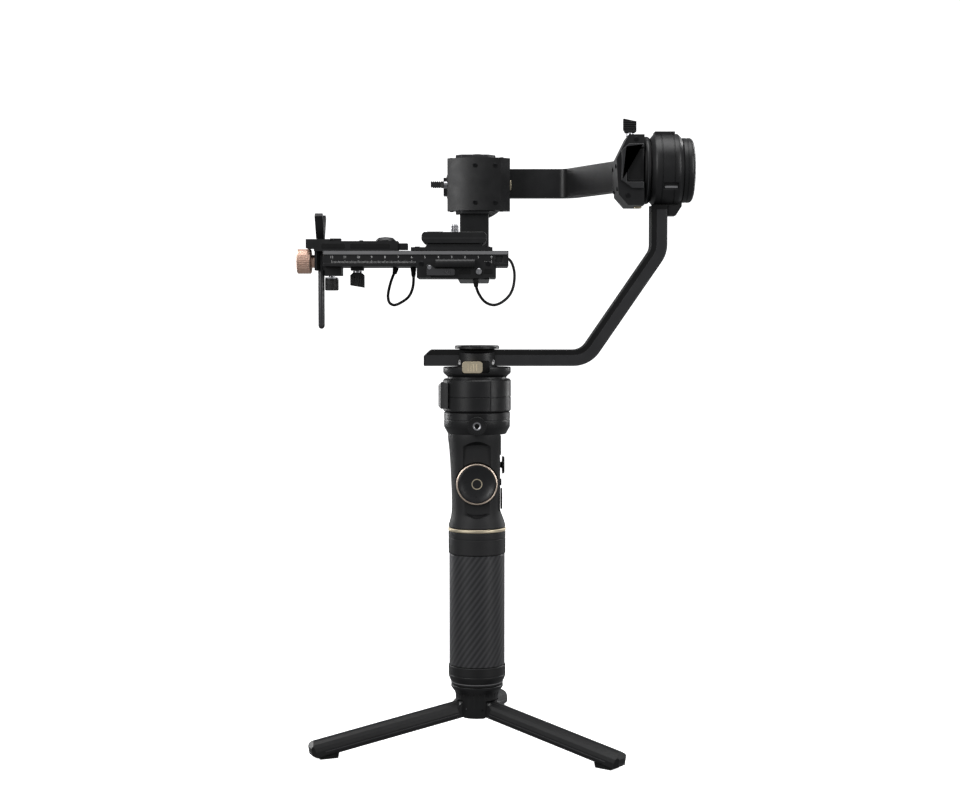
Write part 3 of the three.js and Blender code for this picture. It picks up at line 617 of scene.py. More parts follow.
def tripod():
    hub = Span("tripod_hub")
    ring = Span("grip_end_ring")
    body = lathe([
        (0, hub.z0), (15, hub.z0), (16.2, hub.z0 + 0.7), (16.6, 19.9), (16.6, 34), (17.0, 36.2),
        (18.2, 38.4),
        (19.4, 39.8), (20.1, 41.0), (20.1, 42.2), (19.8, 42.6), (0, 42.6),
    ])
    slots = []
    for azimuth in LEG_AZIMUTHS:
        slot = block(5.3, 80, -7.8, 7.8, 10, 31.8)
        slot.transform(Matrix.Rotation(math.radians(azimuth), 4, "Z"))
        slots.append(slot)
    flutes = []
    for k in range(24):
        angle = 2 * math.pi * (k + 0.5) / 24
        flutes.append(disc(0.9, 33.2, 37.5, at=(17.35 * math.cos(angle), 17.35 * math.sin(angle), 0),
            sides=10))
    make("tripod_hub_shell", carve(body, *slots, merge(*flutes)), PLASTIC, "grip", 0.35, "tripod_hub")
    for number, azimuth in enumerate(LEG_AZIMUTHS, 1):
        spin = Matrix.Rotation(math.radians(azimuth), 4, "Z")
        pin = lathe([(0, -10.6), (1.2, -10.6), (1.6, -10.2), (1.6, 10.2), (1.2, 10.6), (0, 10.6)], 32, "y",
            (12, 0, 25))
        make(f"leg_pin_{number}", pin, BLACK_STEEL, "grip", placed=spin)
        dress(f"tripod_leg_{number}", LEG, 0.9)
        dress(f"tripod_foot_{number}", RUBBER, 0.4)
        slope = Matrix.Translation((12, 0, 25)) @ Matrix.Rotation(math.radians(LEG_SLOPE), 4, "Y")
        # A thin near-black line along each side of the leg, near its lower edge.
        dark_lines = [prism("XZ", rounded(8, 112, -4.5, -4.2, 0.14, 3),
            *sorted((7.35 * side, 7.6 * side)))
            for side in (-1, 1)]
        make(f"leg_dark_line_{number}", merge(*dark_lines), LINE_BLACK, f"leg_{number}",
            placed=spin @ slope)
        # Painted highlight: a lighter strip along each side of the leg and round its tip, for the bright edge
        # line.
        highlight_strips = [prism("XZ", rounded(6, LEG_LENGTH - 9.5, -2.75, -2.05, 0.3, 4),
            *sorted((7.3 * side, 7.68 * side)))
            for side in (-1, 1)]
        highlight_strips.append(prism("XY", rounded(LEG_LENGTH - 0.3, LEG_LENGTH + 0.15, -4.2, 4.2, 0.2, 3), -2.75,
            -2.05))
        make(f"leg_highlight_{number}", merge(*highlight_strips), ANODISED_GREY_AND_HIGHLIGHT, f"leg_{number}", 0.12,
            placed=spin @ slope)
    stud = [(0, hub.z1 - 13), (3.0, hub.z1 - 13),
        *[(3.0 + 0.2 * (k % 2), hub.z1 - 13 + 0.8 * k) for k in range(1, 15)],
        (2.6, hub.z1), (0, hub.z1)]
    make("tripod_stud", lathe(stud, 40), STEEL, "grip")
    end_ring = [
        (0, ring.z0), (19.6, ring.z0), (20, ring.z0 + 0.4), (20, 45.4), (20.5, 45.9), (20.9, 46.6),
        (21.2, 47.2),
        (21.75, 48.9), (22, 49.6), (22, 50.4), (21.8, 50.7), (21.8, 51.1), (22, 51.4), (22, 57.6),
        (21.7, ring.z1),
        (0, ring.z1),
    ]
    make("grip_end_cap", lathe(end_ring, 128), PLASTIC, "grip", 0, "grip_end_ring")
    # Painted highlight: a light grey line just under the step where the end ring widens.
    band = lathe([(19.6, 44.6), (20.15, 44.6), (20.2, 45.2), (19.6, 45.2)], 128)
    make("grip_end_highlight", band, EDGE_HIGHLIGHT, "grip")


# ---------------------------------------------------------------- grip
def grip():
    tube = Span("grip_tube")
    r = tube.x1
    body = [(r - 1.5, tube.z0), (r - 0.3, tube.z0), (r, tube.z0 + 0.4), (r, tube.z1 - 0.4),
        (r - 0.3, tube.z1),
        (r - 1.5, tube.z1)]
    make("grip_sleeve", lathe(body, 160), CARBON, "grip", 0, "grip_tube")
    collar = Span("grip_collar")
    r = collar.x1
    body = [(18, collar.z0), (r - 0.6, collar.z0), (r, collar.z0 + 0.6), (r, collar.z1 - 5.4),
        (r - 0.25, collar.z1 - 5.1),
        (r - 0.25, collar.z1 - 4.8), (r, collar.z1 - 4.5), (r, collar.z1 - 0.4), (r - 0.3, collar.z1),
        (18, collar.z1)]
    make("grip_top_collar", lathe(body, 128), SOFT_TOUCH, "grip", 0, "grip_collar")
    trim = Span("trim_ring")
    r = trim.x1
    body = [(17, trim.z0), (r - 0.5, trim.z0), (r - 0.1, trim.z0 + 0.35), (r, trim.z),
        (r - 0.1, trim.z1 - 0.35),
        (r - 0.5, trim.z1), (17, trim.z1)]
    make("grip_trim", lathe(body, 128), PALE_GOLD, "grip", 0, "trim_ring")
    for number in (1, 2, 3):
        dress(f"battery_cell_{number}", CELL_WRAP, 0.3)
        cell = Span(f"battery_cell_{number}")
        cap = lathe([(4, cell.z1 - 1.5), (7.6, cell.z1 - 1.5), (7.6, cell.z1 - 1.2), (4, cell.z1 - 1.2)],
            40,
            at=(cell.x, cell.y, 0))
        make(f"cell_cap_{number}", cap, STEEL, "grip")


# ---------------------------------------------------------------- control section
def control_section():
    shell = Span("control_housing")
    panel_x = Span("display_window").x0 - 0.3
    bottom, top = shell.z0, shell.z1
    profile = [(0, bottom), (21.5, bottom), (21.9, bottom + 0.5), (21.8, 166), (21.1, 168.6), (20.4, 171.2),
        (19.8, 174.2),
        (19.5, 177), (19.4, 181), (19.45, 186), (19.6, 193), (19.9, 200), (20.25, 208), (20.7, 216),
        (21.2, 223), (21.7, 228), (22.2, 231.4), (22.35, 234), (22.3, 238), (22.0, top), (0, top)]
    body = lathe(profile, 128)
    front = prism("XZ", [(panel_x, top + 5), (panel_x, 177.5), (22, 166.5), (80, 166.5), (80, top + 5)],
        -60, 60)
    arch = [(-10.5, 175.4)]
    steps = 12
    for k in range(1, steps + 1):
        t = k / steps
        arch.append((-10.5 + 21 * t, 175.4 - 4.6 * 2 * t * (1 - t)))
    for k in range(steps + 1):
        t = k / steps
        arch.append((10.5 - 21 * t, 227.5 + 7.5 * 2 * t * (1 - t)))
    flat = prism("XZ", arch, -60, -16.8)
    crescents = []
    for outer, bulge, inner_bulge in ((227.5, 3.9, 1.0), (176.4, -4.1, -1.3)):
        rise = [(-8.6 + 17.2 * k / steps,
            outer + bulge * 4 * k / steps * (1 - k / steps)) for k in range(steps + 1)]
        back = [(8.6 - 17.2 * k / steps, outer + inner_bulge * 4 * k / steps * (1 - k / steps))
            for k in range(1, steps)]
        crescents.append(prism("XZ", rise + back, -60, -15.3))
    wheel = Span("focus_wheel_rim")
    well = lathe([(0, 0), (16.6, 0), (16.6, 6), (0, 6)], 96, "y", (wheel.x, -17.5, wheel.z))
    stick = Span("joystick")
    stick_hole = disc(4.6, 12, 30, "x", (0, 0, stick.z), 48)
    window = Span("display_window")
    bezel = prism("YZ", rounded(window.y0 - 0.5, window.y1 + 0.5, window.z0 - 0.5, window.z1 + 0.5, 1.4),
        panel_x - 0.6, 40)
    body = carve(body, front, flat, stick_hole, bezel, well, *crescents)
    make("control_shell", body, SOFT_TOUCH, "grip", 0.45, "control_housing")
    panel = prism("YZ", rounded(-9.6, 9.6, 176.5, 217.8, 3), panel_x - 0.3, panel_x + 0.25)
    hole = disc(4.6, 0, 40, "x", (0, 0, stick.z), 48)
    make("control_panel", carve(panel, hole), PLASTIC, "grip", 0.12)
    glass = prism("YZ", rounded(window.y0, window.y1, window.z0, window.z1, 1.1), panel_x - 0.5, window.x1)
    make("display_glass", glass, GLASS, "grip", 0.15, "display_window")
    make("display_frame", carve(
        prism("YZ", rounded(window.y0 - 0.45, window.y1 + 0.45, window.z0 - 0.45, window.z1 + 0.45, 1.4),
            panel_x - 0.55, panel_x + 0.35),
        prism("YZ", rounded(window.y0 + 0.05, window.y1 - 0.05, window.z0 + 0.05, window.z1 - 0.05, 1.1), 0,
            60),
    ), PLASTIC, "grip")
    dress("control_board", BOARD, 0.1)
    chip = merge(block(10.6, 11.6, -4, 4, 176, 183), block(10.6, 11.3, -6, -2, 218, 222),
        block(10.6, 11.2, 2, 7, 216, 223))
    make("board_chips", chip, PLASTIC, "grip", 0.1)


def control_keys():
    stick = Span("joystick")
    dress("joystick_cradle", PLASTIC, 0.2)
    z = stick.z
    x = stick.x1
    stalk = [(0, 11.6), (2.0, 11.6), (2.2, 11.8), (2.2, 18.4), (2.8, 19.0), (6.4, 19.2), (6.7, 19.5),
        (6.7, x - 0.9),
        (6.3, x - 0.25), (5.7, x), (4.6, x - 0.35), (2.2, x - 0.75), (0, x - 0.8)]
    nubs = [disc(0.6, 0, 3, at=(6.9 * math.cos(a), 6.9 * math.sin(a), 18.6), sides=8)
        for a in [2 * math.pi * k / 20 for k in range(20)]]
    cap = carve(lathe(stalk, 64), merge(*nubs))
    make("joystick_cap", oriented(cap, "x", (0, 0, z)), RUBBER, "joystick", 0.12, "joystick")
    pad = Span("menu_pad")
    disc_profile = [(0, 18.1), (7.9, 18.1), (8.2, 18.4), (8.2, pad.x1 - 0.35), (7.9, pad.x1),
        (4.6, pad.x1 - 0.12),
        (3.5, pad.x1 - 0.4), (3.3, pad.x1 - 0.7), (0, pad.x1 - 0.7)]
    make("menu_ring", lathe(disc_profile, 72, "x", (0, 0, pad.z)), PLASTIC, "menu_pad", 0, "menu_pad")
    ok = lathe([(0, pad.x1 - 0.9), (3.0, pad.x1 - 0.9), (3.0, pad.x1 - 0.4), (2.7, pad.x1 - 0.1),
        (0, pad.x1)], 48, "x",
        (0, 0, pad.z))
    make("ok_button", ok, SOFT_TOUCH, "menu_pad")
    arrows = []
    for k in range(4):
        arrow = prism("YZ", [(-0.75, 5.4), (0.75, 5.4), (0, 6.5)], pad.x1 - 0.15, pad.x1 + 0.02)
        arrow.transform(Matrix.Rotation(math.pi / 2 * k, 4, "X"))
        arrow.transform(Matrix.Translation((0, 0, pad.z)))
        arrows.append(arrow)
    make("menu_arrows", merge(*arrows), MARKING, "menu_pad")
    mode = Span("mode_button")
    key = lathe([(0, 17), (2.6, 17), (2.6, mode.x1 - 0.3), (2.3, mode.x1), (0, mode.x1 + 0.02)], 48, "x",
        (0, 0, mode.z))
    make("mode_key", key, PLASTIC, "mode_button", 0, "mode_button")


def focus_wheel():
    rim = Span("focus_wheel_rim")
    r = rim.x1
    face, back = -rim.y0, -rim.y1
    profile = [(13.7, back), (r - 0.3, back), (r, back + 0.3), (r, face - 0.9), (r - 0.15, face - 0.45),
        (r - 0.4, face - 0.15),
        (r - 0.7, face - 0.05), (r - 1.0, face - 0.15), (14.45, face - 0.5), (14.35, face - 1.2),
        (13.7, face - 1.4)]
    teeth = [disc(0.28, back + 0.7, face - 1.3, at=(r * math.cos(a), r * math.sin(a), 0), sides=8)
        for a in [2 * math.pi * k / 72 for k in range(72)]]
    turned = Matrix.Translation((0, 0, rim.z)) @ Matrix.Rotation(math.pi / 2, 4, "X")
    make("wheel_rim", carve(lathe(profile, 144), merge(*teeth)), ROSE_RIM, "focus_wheel", 0,
        "focus_wheel_rim",
        turned)
    dish = [(0, 11.5), (2, 11.5), (2, 18), (13.4, 18), (13.4, 20.5), (13.6, 20.6), (14.2, 20.7),
        (14.2, 21.3), (13.6, 21.5), (12.8, 21.3), (11.2, 20.6), (9, 19.9),
        (6.5, 19.45), (4, 19.2), (2, 19.12), (0, 19.1)]
    rings = turned_rings("wheel_dish", (0.0085, 0.0085, 0.0095), 0.0, 0.3,
        tuple(Vector((0, -19.5, rim.z)) * MM), 0.0006, 0.00006)
    make("wheel_dish", lathe(dish, 128), rings, "focus_wheel", 0, "focus_wheel_dish",
        turned)
    mark = lathe([(3.4, 19.15), (4.1, 19.15), (4.1, 19.45), (3.4, 19.4)], 64)
    make("wheel_mark", mark, PALE_GOLD, "focus_wheel", placed=turned)


# ---------------------------------------------------------------- accessory collar and pan motor
def accessory_collar():
    node = Span("accessory_collar")
    low, high = node.z0, node.z1
    body = lathe([
        (9, low), (21.9, low), (22.4, low + 0.3), (25.0, 241.2), (25.3, 241.8), (25.3, 246.6),
        (25.05, 246.9),
        (25.05, 247.3), (25.3, 247.6), (25.3, high - 0.4), (24.9, high), (9, high),
    ], 128)
    boss_z = 243.2
    bosses = []
    holes = []
    for side in (-1, 1):
        start, end = sorted((20 * side, 27.1 * side))
        bosses.append(disc(7.1, start, end, "y", (0, 0, boss_z), 72, 0.2))
        start, end = sorted((23.2 * side, 30 * side))
        holes.append(disc(3.4, start, end, "y", (0, 0, boss_z), 48))
    panels = [prism("XZ", rounded(-12.5, 12.5, low + 0.6, high - 1.6, 2.2),
        *sorted((24.3 * side, 60 * side))) for side in (-1, 1)]
    body = carve(body, *panels)
    make("accessory_body", carve(fuse(body, *bosses), *holes), ANODISED, "grip", 0.3, "accessory_collar")
    for name, side in (("front", -1), ("back", 1)):
        facing = Matrix.Translation((0, 0, boss_z)) @ Matrix.Rotation(math.pi / 2 * -side, 4, "X")
        teeth = []
        for k in range(24):
            tooth = prism("XZ", [(4.4, 27.0), (6.9, 27.0), (6.8, 27.6), (4.5, 27.3)], -0.32, 0.32)
            tooth.transform(Matrix.Rotation(2 * math.pi * k / 24, 4, "Z"))
            teeth.append(tooth)
        make(f"rosette_{name}", merge(*teeth), ANODISED, "grip", placed=facing)
        thread = [(2.0 + 0.35 * (k % 2), 23.4 + 0.36 * k) for k in range(9)]
        insert = lathe([(3.3, 23.4), (3.3, 26.4), (3.1, 26.6), (2.5, 26.5), *thread[::-1]], 64)
        make(f"thread_insert_{name}", insert, STEEL, "grip", placed=facing)


def pan_motor():
    node = Span("pan_motor_housing")
    low, high = node.z0, node.z1
    r = node.x1
    seam = 264.6
    body = lathe([
        (0, low), (24.4, low), (25.2, low + 0.4), (r, low + 1.4), (r, seam - 0.4), (r - 0.35, seam - 0.1),
        (r - 0.35, seam + 0.2), (r, seam + 0.5), (r, high - 1.4), (25.4, high - 0.5), (24.8, high),
        (23.6, high),
        (23.6, 257), (0, 257),
    ], 128)
    side = [(-22, 255.8), (-27.4, 255.8), (-29.4, 257.8), (-29.4, 273.4), (-27.4, 275.4), (-22, 275.4)]
    inner = disc(23.6, 257, 300, sides=96)
    groove = block(9.8, 14.8, -60, -23.9, 254, high + 1)
    blister = [(-29.4, -9.5), (-29.4, 9.5), (-27.6, 13.2), (-23.5, 15.5), (-20, 16.5), (-20, -16.5),
        (-23.5, -15.5), (-27.6, -13.2)]
    bump = combine("INTERSECT", prism("XZ", side, -20, 20), [prism("XY", blister, 250, 280)])
    body = carve(fuse(body, bump), inner, groove)
    make("pan_motor_shell", body, ANODISED, "grip", 0.5, "pan_motor_housing")
    y = -math.sqrt(r * r - 14.8 ** 2)
    # Painted highlight: a light grey strip along the left edge of the front groove.
    strip = prism("XY", rounded(9.3, 10.5, y - 2.1, y + 0.6, 0.3), 255.6, high - 1.6)
    make("pan_motor_groove_highlight", strip, EDGE_HIGHLIGHT, "grip")
    dress("pan_stator", COPPER, 0.5)
    for k, height in enumerate((259.2, 271.8)):
        socket_screw(f"pan_flange_screw_{k + 1}", (-29.2, 0, height), "-x", "grip", 1.3, 0.15)


def padlock(face, z, shackle_turn):
    """A small generic padlock that stands out of the neck's front, where face is the neck's radius."""
    body = prism("XZ", rounded(-1.2, 1.2, z - 1.5, z + 0.4, 0.3, 3), -face - 0.16, -face + 0.4)
    arch = carve(
        prism("XZ", rounded(-0.95, 0.95, z - 0.4, z + 2.0, 0.9, 6), -face - 0.14, -face + 0.4),
        prism("XZ", rounded(-0.52, 0.52, z - 1.6, z + 1.55, 0.5, 6), -face - 1, -face + 1),
    )
    arch.transform(Matrix.Translation((shackle_turn, 0, 0)))
    return merge(body, arch)


def pan_neck():
    node = Span("pan_rotor_clamp")
    cap = Span("pan_clamp_cap")
    r = cap.x1
    body = lathe([
        (0, 258.4), (4, 258.4), (4, 276.5), (20.6, 276.5), (20.6, 259.4), (22.6, 259.4), (22.6, 279.9),
        (25.4, 282.4),
        (25.9, 283.2), (25.9, 286.9), (25.5, 287.3), (r + 0.5, 287.3), (r, 287.8), (r, node.z1),
        (0, node.z1),
    ], 128)
    arm = Span("pan_arm")
    channel = block(-80, 80, arm.y0 - 0.3, arm.y1 + 0.3, 287.7, 400)
    brow = prism("YZ", [(-30, 295.3), (0, 300.7), (0, 310), (-30, 310)], -80, 80)
    pocket = prism("XZ", rounded(-11.5, 9.7, 282.9, 292.3, 1.8), -80, -14.1)
    make("pan_neck", carve(body, channel, brow, pocket), ANODISED, "pan_rotor", 0.4, "pan_rotor_clamp")
    lid = lathe([(0, cap.z0), (r - 0.2, cap.z0), (r, cap.z0 + 0.3), (r, cap.z1 - 0.9),
        (r - 0.6, cap.z1 - 0.1), (16.2, cap.z1),
        (9, cap.z1), (8.7, cap.z1 - 0.3), (0, cap.z1 - 0.3)], 96)
    make("pan_cap", lid, ANODISED, "pan_rotor", 0, "pan_clamp_cap")
    for k, x in enumerate((-10.5, 10.5)):
        for j, y in enumerate((-8, 8)):
            socket_screw(f"pan_cap_screw_{2 * k + j + 1}", (x, y, cap.z1 - 0.45), "z", "pan_rotor", 1.7,
                0.4, STEEL)
    marks = []
    for turn, shift in ((-50.5, 0.0), (45.5, 0.5)):
        mark = padlock(r, 290.9, shift)
        mark.transform(Matrix.Rotation(math.radians(turn), 4, "Z"))
        marks.append(mark)
    make("lock_marks", merge(*marks), MARKING, "pan_rotor")
    lock = Span("pan_lock_slider")
    key = prism("XZ", rounded(lock.x0, lock.x1, lock.z0, lock.z1, 2.3), lock.y0, lock.y1)
    notches = grooves(4, lock.x0 + 4.4, lock.x0 + 10.9,
        lambda x: block(x - 0.18, x + 0.18, lock.y0 - 1, lock.y0 + 0.2,
            lock.z0 + 1.8, lock.z1 - 1.8))
    make("pan_lock_key", carve(key, *notches), PALE_GOLD, "pan_lock", 0.35, "pan_lock_slider")


# ---------------------------------------------------------------- arms
MOTOR_AXIS_Z = 437
MOTOR_SEAT_R = 27.9


def sidestep(corners, distance):
    """A route moved to its own right, with each inner corner mitred."""
    points = [Vector(corner) for corner in corners]
    headings = [(b - a).normalized() for a, b in zip(points, points[1:])]
    moved = []
    for k, point in enumerate(points):
        before, after = headings[max(0, k - 1)], headings[min(k, len(headings) - 1)]
        middle = (before + after).normalized()
        right = Vector((middle.y, -middle.x))
        moved.append(point + right * distance / before.dot(middle))
    return moved


def arms():
    pan = Span("pan_arm")
    centre_z = (pan.z0 * 2 + 12.4) / 2
    route = [(pan.x0, centre_z), (82.8, centre_z), (138.25, 375.2), (138.25, 414)]
    seat = disc(MOTOR_SEAT_R, 120, 160, "x", (0, 0, MOTOR_AXIS_Z), 96)
    gusset_room = block(144.75, 150, -80, 80, 400, 420)
    body = prism("XZ", bar_outline(route, 18, 12.4), pan.y0, pan.y1)
    top = centre_z + 6.2
    corner = [(pan.x0 - 1, top + 1), (pan.x0 + 6, top + 1), (pan.x0 - 1, top - 5.6)]
    # Painted shade: the bar is the darkest black, and the band of it left bare along the top of the front and
    # back faces stands for the slanted top face in shade.
    make("pan_arm_bar", carve(body, seat, gusset_room, prism("XZ", corner, -80, 80)), BLACK_AND_SHADE, "pan_arm", 1.0,
        "pan_arm")
    # Painted light: a lighter grey face over the rest of the arm's front and back, for the lit face.
    short = [(pan.x0 + 1.2, centre_z), (82.8, centre_z), (138.25, 375.2), (138.25, 407)]
    face = bar_outline(sidestep(short, 1.9), 19.9, 8.0)
    for name, start in (("front", pan.y0 - 0.2), ("back", pan.y1 - 0.2)):
        land = carve(prism("XZ", face, start, start + 0.4), prism("XZ", corner, -80, 80))
        make(f"pan_arm_lit_face_{name}", land, LIT_FACE_GREY, "pan_arm", 0.15)
    # Painted highlight: a thin lighter line along the lower edge of the front face.
    highlight_line = bar_outline(sidestep(short, 5.4), 23.4, 0.7)
    make("pan_arm_edge_highlight", prism("XZ", highlight_line, pan.y0 - 0.26, pan.y0 + 0.2), ANODISED_GREY_AND_HIGHLIGHT, "pan_arm", 0.1)

    roll = Span("roll_arm")
    y = roll.y1 - 6.2
    outline = bar_outline([(119.1, roll.y0), (119.1, 78), (78, y), (roll.x0, y)], 14, 12.4)
    body = prism("XY", outline, roll.z0, roll.z1)
    seat = disc(MOTOR_SEAT_R, 130, 190, "y", (0, 0, MOTOR_AXIS_Z), 96)
    make("roll_arm_bar", carve(body, seat), ANODISED, "roll_arm", 1.1, "roll_arm")
    # Painted shade: a darkest-black plate on the arm's end face where it sits in the clamp, inside the rim.
    make("roll_arm_end_shade", prism("XZ", rounded(114.2, 124.0, roll.z0 + 1.4, roll.z1 - 1.4, 1.2),
        roll.y0 - 0.2, roll.y0 + 0.4),
        BLACK_AND_SHADE, "roll_arm", 0.1)

    tilt = Span("tilt_arm")
    inner, outer = tilt.y1 - 12.4, tilt.y1
    bottom, top = tilt.z0, tilt.z0 + 8
    bend = 14
    outline = [(inner, tilt.z1), (outer, tilt.z1), (outer, bottom + 22)]
    for k in range(1, bend + 1):
        angle = math.pi / 2 * k / bend
        outline.append((outer - 22 + 22 * math.cos(angle), bottom + 22 - 22 * math.sin(angle)))
    outline += [(tilt.y0, bottom), (tilt.y0, top), (inner - 12, top)]
    for k in range(1, bend + 1):
        angle = math.pi / 2 * k / bend
        outline.append((inner - 12 + 12 * math.sin(angle), top + 12 - 12 * math.cos(angle)))
    make("tilt_arm_bar", prism("YZ", outline, tilt.x0, tilt.x1), ANODISED, "tilt_arm", 1.1, "tilt_arm")
    # Painted shade: a darkest-black plate on the arm's tip face, inside its rim.
    make("tilt_arm_tip_shade", prism("XZ", rounded(tilt.x0 + 2, tilt.x1 - 2, bottom + 1.4, top - 1.4, 1),
        tilt.y0 - 0.2, tilt.y0 + 0.4),
        BLACK_AND_SHADE, "tilt_arm", 0.1)


# ---------------------------------------------------------------- roll and tilt motors, each in its own frame
def motor_frame(axes, at):
    columns = [Vector(axis) for axis in axes]
    matrix = Matrix.Identity(4)
    for k, column in enumerate(columns):
        for j in range(3):
            matrix[j][k] = column[j]
    matrix.translation = Vector(at)
    return matrix


def motor(name, carrier, placed):
    rotor = f"{name}_rotor"
    shell = lathe([
        (0, 152), (23.3, 152), (23.3, 131.4), (24, 131.4), (27.1, 134), (27.6, 134.8), (27.6, 138.6),
        (27.2, 138.9),
        (27.2, 139.4), (27.6, 139.7), (27.6, 147.8), (27.25, 148.1), (27.25, 148.5), (27.6, 148.8),
        (27.6, 152.0),
        (27.1, 152.8), (24.3, 155.4), (0, 155.4),
    ], 128)
    gusset = prism("XZ", [(-20, 145.1), (-34.5, 145.1), (-34.5, 151), (-27.5, 155.4), (-20, 155.4)], -8, 8)
    hollow = disc(23.3, 120, 152, sides=96)
    slot = prism("XZ", rounded(-16.8, -11, 139.9, 151.4, 0.8), 22.2, 40)
    top_lug = prism("YZ", [(-7.5, 134.9), (7.5, 134.9), (7.5, 150), (-7.5, 150)], 20, 28.9)
    make(f"{name}_shell", carve(fuse(shell, gusset, top_lug), hollow, slot), ANODISED, carrier, 0.4,
        f"{name}_motor_housing", placed)
    # Painted highlight: a light grey bar in the middle of the slot.
    highlight_bar = prism("XZ", rounded(-14.9, -13.3, 140.8, 150.6, 0.5), 21.7, 22.9)
    make(f"{name}_slot_highlight", highlight_bar, EDGE_HIGHLIGHT, carrier, 0.2, placed=placed)
    cap = lathe([
        (0, 155.7), (24.2, 155.7), (24.5, 156.0), (24.5, 158.4), (24.15, 158.7), (24.15, 159.1),
        (24.5, 159.4),
        (24.5, 161.4), (24.0, 162.6), (22.8, 163.7), (21, 164.3), (19.4, 164.6), (19.1, 164.3),
        (18.7, 164.3), (18.4, 164.75),
        (12, 165.5), (5, 165.75), (0, 165.8),
    ], 128)
    make(f"{name}_cap", cap, ANODISED, carrier, 0, f"{name}_motor_cap", placed)
    for k in range(4):
        angle = math.radians(45 + 90 * k)
        at = (21.6 * math.cos(angle), 21.6 * math.sin(angle), 163.6)
        socket_screw(f"{name}_cap_screw_{k + 1}", at, "z", carrier, 1.2, 0.45, placed=placed)
    dress(f"{name}_stator", COPPER, 0.5)
    plate = lathe([
        (0, 125.9), (24.0, 125.9), (24.4, 126.1), (25.3, 127.0), (25.4, 127.3), (25.4, 129.6),
        (25.2, 130.0), (24.4, 130.8),
        (22.6, 130.8), (22.6, 149.4), (20.6, 149.4), (20.6, 131.6), (4, 131.6), (4, 151.4), (0, 151.4),
    ], 128)
    make(f"{name}_face", plate, BLACK_AND_SHADE, rotor, 0, f"{name}_rotor", placed)
    ring = lathe([(25.38, 128.2), (25.62, 128.2), (25.62, 128.8), (25.38, 128.8)], 128)
    make(f"{name}_face_ring", ring, ANODISED_GREY_AND_HIGHLIGHT, rotor, placed=placed)
    clamp(name, rotor, placed)


def clamp(name, rotor, placed):
    back, middle, screw_z, half = 125.6, 2.5, 116.3, 22
    hexagon = [(25.2, back), (25.2, 113.8), (6.5, 104.6), (-19.5, 106.2), (-27.6, 113.4), (-27.6, back)]
    reach = 12.25 + 0.3
    channel = block(middle - reach, middle + reach, -80, 80, 112.6, 200)
    hole = disc(2.8, 14, 80, "x", (0, 0, screw_z), 40)
    pocket = block(-80, -23.2, -9.4, 4.4, 119.6, 200)
    body = carve(prism("XZ", hexagon, -half, half), channel, hole, pocket)
    make(f"{name}_clamp_body", body, ANODISED, rotor, 0.6, f"{name}_clamp", placed)
    for side in (-1, 1):
        end = "near" if side < 0 else "far"
        # Painted light: the raised boss on each side is a lighter grey than the clamp body, for the lit face
        # of the boss.
        boss = carve(
            prism("XZ", [(18.2, 124.9), (18.2, 113.6), (13.2, 108.2), (-9.4, 108.2), (-15.4, 116.4),
                (-15.4, 124.9)],
                *sorted((side * (half - 0.4), side * (half + 2.8)))),
            block(middle - reach - 0.2, middle + reach + 0.2, -80, 80, 112.4, 200),
        )
        make(f"{name}_clamp_boss_{end}", boss, LIT_FACE_GREY, rotor, 0.7, placed=placed)
        for k, at in enumerate(((21.6, 119.4), (-20.4, 113.4))):
            head = disc(1.7, *sorted((side * half - side * 0.3, side * (half + 0.8))), "y",
                (at[0], 0, at[1]), 36, 0.2)
            make(f"{name}_clamp_screw_{end}_{k + 1}", head, BLACK_STEEL, rotor, placed=placed)
        for k, x in enumerate((-15, 2)):
            at = (x, side * 15.5, 105.9 - 1.6 * (x + 19.5) / 26)
            socket_screw(f"{name}_plate_screw_{end}_{k + 1}", at, "-z", rotor, 1.8, 0.55, placed=placed)
    wing = prism("XZ", [
        (28.2, screw_z - 3.4), (31, screw_z - 5), (39.2, screw_z - 5), (37.2, screw_z + 5),
        (29.4, screw_z + 5),
        (28.2, screw_z + 3.4),
    ], -2.6, 2.6)
    ribs = []
    for k in range(5):
        for side in (-1, 1):
            start, stop = sorted((side * 2.0, side * 4))
            ribs.append(block(30.6 + 1.7 * k, 31.3 + 1.7 * k, start, stop, screw_z - 8, screw_z + 8))
    make(f"{name}_wing", carve(wing, merge(*ribs)), PLASTIC, f"{name}_screw", 0.3, f"{name}_thumb_screw",
        placed)
    stem = lathe([(0, 15.4), (2.1, 15.4), *[(2.15 + 0.25 * (k % 2), 15.8 + 0.45 * k) for k in range(20)],
        (2.4, 25.4),
        (3.1, 25.5), (3.1, 28.0), (2.8, 28.3), (0, 28.3)], 40, "x", (0, 0, screw_z))
    make(f"{name}_stem", stem, STEEL, f"{name}_screw", placed=placed)
    key = prism("YZ", rounded(-4, 4, 119.9, 125.3, 0.8), -28.7, -23.5)
    cuts = [block(-29.5, -28.3, y - 0.3, y + 0.3, 120.9, 124.3) for y in (-2, -0.7, 0.7, 2)]
    make(f"{name}_lock_key", carve(key, merge(*cuts)), PALE_GOLD, f"{name}_lock", 0.3,
        f"{name}_lock_slider",
        placed)


